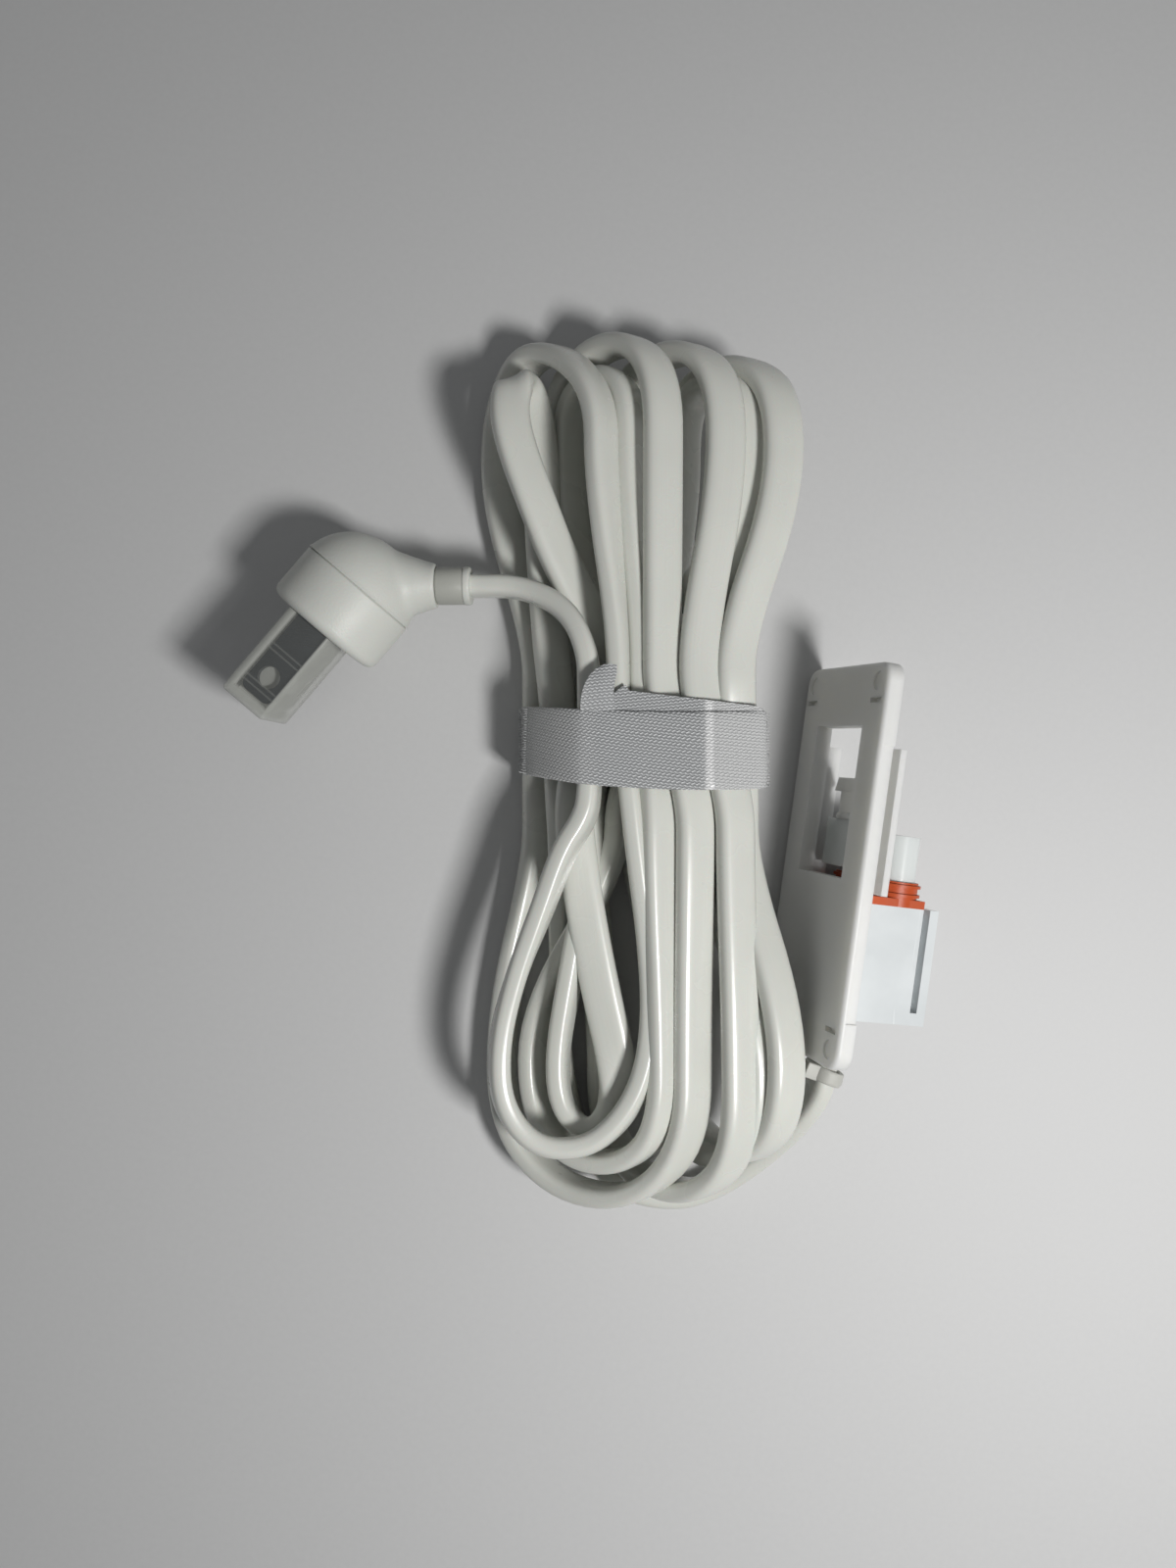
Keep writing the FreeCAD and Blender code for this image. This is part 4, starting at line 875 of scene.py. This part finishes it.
plasticLooks = {
    "bracket_white": ({"colour": (0.775, 0.775, 0.755), "shade": (0.735, 0.735, 0.715), "rough": (0.40, 0.52),
                       "cloud": 40, "grain": 2600, "scuff": 160, "bump": 0.12},
                      {"IOR": 1.49, "Subsurface Weight": 0.65, "Subsurface Radius": (1.0, 0.97, 0.88),
                       "Subsurface Scale": 0.004}),
    # the housing's streak value paints bright gloss streaks, a painted highlight, into its colour
    "housing_white": ({"colour": (0.74, 0.77, 0.78), "shade": (0.64, 0.67, 0.68), "rough": (0.14, 0.26),
                       "cloud": 90, "grain": 900, "scuff": 420, "bump": 0.05, "paintedGlossStreaks": -0.8},
                      {"IOR": 1.5, "Coat Weight": 0.3, "Coat Roughness": 0.08}),
    "nose_translucent": ({"colour": (0.72, 0.75, 0.74), "shade": (0.67, 0.70, 0.695), "rough": (0.16, 0.28),
                          "cloud": 80, "grain": 1200, "scuff": 260, "bump": 0.05},
                         {"IOR": 1.46, "Subsurface Weight": 0.4, "Subsurface Radius": (1.0, 0.98, 0.95),
                          "Subsurface Scale": 0.003}),
    "core_insulation": ({"colour": (0.68, 0.67, 0.63), "shade": (0.62, 0.61, 0.57), "rough": (0.32, 0.42),
                         "cloud": 90, "grain": 1500, "scuff": 260, "bump": 0.05}, {}),
    "seal_orange": ({"colour": (0.54, 0.09, 0.022), "shade": (0.47, 0.075, 0.018), "rough": (0.30, 0.45),
                     "cloud": 120, "grain": 1800, "scuff": 260, "bump": 0.12},
                    {"IOR": 1.42, "Subsurface Weight": 0.12, "Subsurface Scale": 0.001}),
    "tie_nylon": ({"colour": (0.51, 0.51, 0.475), "shade": (0.475, 0.475, 0.44), "rough": (0.5, 0.6),
                   "cloud": 150, "grain": 1500, "scuff": 300, "bump": 0.1},
                  {"IOR": 1.53, "Subsurface Weight": 0.25, "Subsurface Radius": (1.0, 0.97, 0.9),
                   "Subsurface Scale": 0.0015}),
    "plug_white": ({"colour": (0.70, 0.71, 0.665), "shade": (0.665, 0.675, 0.63), "rough": (0.40, 0.52),
                    "cloud": 55, "grain": 2600, "scuff": 200, "bump": 0.22},
                   {"IOR": 1.49, "Subsurface Weight": 0.05, "Subsurface Scale": 0.002}),
    "sleeve_grey": ({"colour": (0.46, 0.465, 0.425), "shade": (0.43, 0.435, 0.395), "rough": (0.40, 0.52),
                     "cloud": 90, "grain": 2200, "scuff": 200, "bump": 0.14}, {"IOR": 1.49}),
    "cover_translucent": ({"colour": (0.60, 0.61, 0.57), "shade": (0.56, 0.57, 0.53), "rough": (0.26, 0.34),
                           "cloud": 90, "grain": 1500, "scuff": 110, "bump": 0.03},
                          {"IOR": 1.5}),
}
finishes = {slot: mouldedPlastic(slot, look, constants) for slot, (look, constants) in plasticLooks.items()}

# the cover's opacity where it is clear and where it is cloudy, and in metres along the plug's axes where
# the haze begins and is full: off its middle, towards its middle and at its tip
hazeFacts = {"opacity": (0.08, 0.5), "aside": (0.0033, 0.0036), "inward": (0.0060, 0.0055),
             "tip": (-0.0161, -0.0167)}


def cloudTheCover(material, facts):
    # a frosted wall is clear close over the blades, and cloudy beside them and at the divider between them
    tree = material.node_tree
    axes = axesIn(tree, plugPlace)
    masks = [rangeNode(tree, calculate(tree, "ABSOLUTE", axes[axis]), 0.0, 1.0, *facts[part])
             for axis, part in (("Y", "aside"), ("Z", "inward"))]
    tip = rangeNode(tree, axes["X"], 0.0, 1.0, *facts["tip"])
    most = calculate(tree, "MAXIMUM", calculate(tree, "MAXIMUM", *masks), tip)
    tree.links.new(rangeNode(tree, most, *facts["opacity"]), tree.nodes["Principled BSDF"].inputs["Alpha"])


cloudTheCover(finishes["cover_translucent"], hazeFacts)


# drawn metal: two tones, the range of roughness and the way the grain is turned
metalLooks = {"blade_metal": ((0.060, 0.078, 0.105), (0.042, 0.056, 0.078), (0.24, 0.40), -1.0),
              "brass_contact": ((0.66, 0.52, 0.27), (0.52, 0.39, 0.19), (0.25, 0.38), 1.57)}


def makeMetal(name, colour, shade, rough, turn):
    material, tree, shader = startMaterial(name, {"Metallic": 1.0})
    place = objectPlace(tree)
    drawn = mapped(tree, place, Rotation=(0, 0, turn), Scale=(0.04, 1.0, 1.0))
    grain = noiseOn(tree, drawn, 2400.0, Detail=3.0, Roughness=0.6)
    stain = noiseOn(tree, place, 260.0, Detail=3.0, Roughness=0.55)
    tone = rangeNode(tree, stain, 0.0, 1.0, *noiseSpread)
    joinShader(tree, shader, mixColour(tree, tone, colour, shade),
               rangeNode(tree, grain, *rough, *noiseSpread), grain, 0.03, 0.0001)
    return material


for slot, look in metalLooks.items():
    finishes[slot] = makeMetal(slot, *look)


def runPlace(tree):
    # distance along a swept piece, then across it
    return addNode(tree, "ShaderNodeAttribute", attribute_name="runAlong").outputs["Vector"]


def makeCordFinish():
    # glossy vinyl: drawn lines along the cord, slight unevenness and a warm tone
    material, tree, shader = startMaterial("cord_white", {"IOR": 1.5, "Subsurface Weight": 0.06,
                                                          "Subsurface Scale": 0.0015, "Coat Weight": 0.15,
                                                          "Coat Roughness": 0.1})
    along = mapped(tree, runPlace(tree), Scale=(0.02, 1.0, 1.0))
    drawn = noiseOn(tree, along, 1400.0, Detail=2.0, Roughness=0.5)
    cloud = noiseOn(tree, objectPlace(tree), 90.0, Detail=3.0, Roughness=0.5)
    tone = rangeNode(tree, cloud, 0.0, 1.0, *noiseSpread)
    joinShader(tree, shader, mixColour(tree, tone, (0.685, 0.693, 0.645), (0.65, 0.658, 0.612)),
               rangeNode(tree, cloud, 0.22, 0.34, *noiseSpread),
               calculate(tree, "MULTIPLY_ADD", drawn, 0.5, cloud), 0.25, 0.0002)
    return material


finishes["cord_white"] = makeCordFinish()

# the cloth's loops, in metres along and across the band, how far their rows drift, lean and wave, and along
# the hank's X where painted light makes the cloth lighter on each side and where its painted glint stripe is
clothFacts = {"loop": 0.00082, "row": 0.00054, "drift": (5.0, 3.0), "lean": -0.16, "wave": 0.9,
              "fuzz": 0.45, "left": (-0.005, 0.002), "right": (0.019, 0.0225), "paintedGlint": 0.0209,
              "paintedGlintEdge": (0.0003, 0.0010)}


def makeStrapFinish(facts):
    # rows of short bright loops, the hollows between them painted darker as shade, deepest on the flat top;
    # the sloping sides painted lighter, and a painted glint along the right-hand bend
    material, tree, shader = startMaterial("strap_cloth", {"Sheen Weight": 0.3, "Sheen Roughness": 0.4,
                                                           "Coat Roughness": 0.22})
    place = objectPlace(tree)
    drift = noiseOn(tree, place, 170.0, Detail=2.0)
    run = addNode(tree, "ShaderNodeSeparateXYZ", Vector=runPlace(tree)).outputs
    turn = 2 * math.pi
    onward, sideways = facts["drift"]
    along = calculate(tree, "MULTIPLY_ADD", run["X"], turn / facts["loop"],
                      calculate(tree, "MULTIPLY", drift, onward))
    across = calculate(tree, "MULTIPLY", run["Y"], turn / facts["row"])
    across = calculate(tree, "MULTIPLY_ADD", drift, sideways, across)
    across = calculate(tree, "MULTIPLY_ADD", along, facts["lean"], across)
    waving = calculate(tree, "MULTIPLY_ADD", calculate(tree, "SINE", along), facts["wave"], across)
    rows = calculate(tree, "SINE", waving)
    dashes = calculate(tree, "SINE", calculate(tree, "MULTIPLY_ADD", across, 0.5, along))
    weave = calculate(tree, "MULTIPLY", rangeNode(tree, rows, 0.0, 1.0, -0.9, 0.9),
                      rangeNode(tree, dashes, 0.35, 1.0, -0.8, 0.8))
    height = calculate(tree, "MULTIPLY_ADD", noiseOn(tree, place, 5200.0, Detail=2.0), facts["fuzz"], weave)

    # painted light: along the hank's X, the left and right slopes are painted lighter than the flat top
    side = axesIn(tree, hankPlace)["X"]
    paintedLitSides = calculate(tree, "ADD", rangeNode(tree, side, 1.0, 0.0, *facts["left"]),
                       rangeNode(tree, side, 0.0, 1.0, *facts["right"]))
    # painted shade: the ground between the loops is painted darker, much darker on the flat top than on the
    # slopes
    paintedShadeCloth = mixColour(tree, weave, (0.26, 0.267, 0.272), (0.74, 0.752, 0.76))
    paintedLitCloth = mixColour(tree, weave, (0.46, 0.465, 0.465), (0.76, 0.765, 0.765))
    # painted highlight: a near-white glint stripe, with coat, painted along the bend at the right
    fromPaintedGlint = calculate(tree, "ABSOLUTE", calculate(tree, "SUBTRACT", side, facts["paintedGlint"]))
    paintedGlint = calculate(tree, "MULTIPLY", rangeNode(tree, fromPaintedGlint, 1.0, 0.0, *facts["paintedGlintEdge"]),
                       rangeNode(tree, weave, 0.3, 1.0, 0.0, 0.6))
    colour = mixColour(tree, paintedGlint, mixColour(tree, paintedLitSides, paintedShadeCloth, paintedLitCloth), (0.97, 0.97, 0.97))
    rough = calculate(tree, "MULTIPLY_ADD", paintedGlint, -0.2, rangeNode(tree, height, 0.6, 0.3))
    tree.links.new(paintedGlint, shader.inputs["Coat Weight"])
    joinShader(tree, shader, colour, rough, height, 1.0, 0.00016)
    return material


finishes["strap_cloth"] = makeStrapFinish(clothFacts)

nodeFinishes = {
    "bracket_white": ("bracket_plate", "latch_hook", "cord_clamp"),
    "housing_white": ("terminal_housing", "housing_cover"),
    "nose_translucent": ("connector_nose",),
    "brass_contact": ("contact_socket_1", "contact_socket_2", "blade_crimp_1", "blade_crimp_2"),
    "core_insulation": ("module_core_1", "module_core_2", "plug_core_1", "plug_core_2"),
    "seal_orange": ("sealing_gasket",),
    "tie_nylon": ("cable_tie",),
    "plug_white": ("plug_base", "plug_hood", "blade_holder"),
    "sleeve_grey": ("plug_strain_relief",),
    "blade_metal": ("blade_1", "blade_2"),
    "cover_translucent": ("blade_cover",),
}
for slot, names in nodeFinishes.items():
    for name in names:
        for place in nodes[name].material_slots:
            place.material = finishes[slot]
newFinishes = ((cord, "cord_white"), *((thing, "strap_cloth") for thing in strapThings),
               (plugBody, "plug_white"), (plugHoodSkin, "plug_white"), (plugGrip, "sleeve_grey"),
               (plugEndRing, "plug_white"), (clearCover, "cover_translucent"), (nylonTie, "tie_nylon"))
for thing, slot in newFinishes:
    thing.data.materials.clear()
    thing.data.materials.append(finishes[slot])
print("finishes made")

# Floor and light
roomFacts = {"floorSize": 3.0, "floorDrop": 0.0001, "key": (0.166, -0.106, 0.312), "keySize": 0.065,
             "keyPower": 0.97, "keyColour": (1.0, 0.995, 0.985), "fill": 0.15,
             "fillColour": (0.96, 0.98, 1.0)}


def makeRoom(facts):
    bm = bmesh.new()
    bmesh.ops.create_grid(bm, x_segments=1, y_segments=1, size=facts["floorSize"] / 2)
    bmesh.ops.translate(bm, vec=(0, 0, -facts["floorDrop"]), verts=bm.verts)
    floor = madeFrom(bm, "floor", smooth=False)
    material, tree, shader = startMaterial("table", {"Specular IOR Level": 0.3})
    speck = noiseOn(tree, objectPlace(tree), 900.0, Detail=3.0)
    tree.links.new(mixColour(tree, speck, (0.625, 0.625, 0.625), (0.66, 0.66, 0.66)),
                   shader.inputs["Base Color"])
    tree.links.new(rangeNode(tree, speck, 0.5, 0.65), shader.inputs["Roughness"])
    floor.data.materials.append(material)

    data = bpy.data.lights.new("key", "AREA")
    data.energy = facts["keyPower"]
    data.size = facts["keySize"]
    data.color = facts["keyColour"]
    key = link(bpy.data.objects.new("key", data))
    target = Vector((hankPlace["x"] * mm, hankPlace["y"] * mm, 0))
    way = hankFrame.to_3x3() @ Vector(facts["key"])
    key.location = target + way
    key.rotation_euler = (-way).to_track_quat("-Z", "Y").to_euler()

    world = bpy.data.worlds.new("room")
    world.use_nodes = True
    sky = world.node_tree.nodes["Background"].inputs
    sky["Color"].default_value = (*facts["fillColour"], 1)
    sky["Strength"].default_value = facts["fill"]
    bpy.context.scene.world = world


makeRoom(roomFacts)
print("room made")

# What each new piece rides on and stands for
for piece, slot in newFinishes:
    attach(piece, "cover" if piece is clearCover else "body")
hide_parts("plug_lead", "cord_hank", "module_lead", "module_cord_end", "plug_cord_end")
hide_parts("tie_strap")
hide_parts("plug_base")
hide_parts("plug_hood")
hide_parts("plug_strain_relief")
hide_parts("blade_cover")
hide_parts("cable_tie")
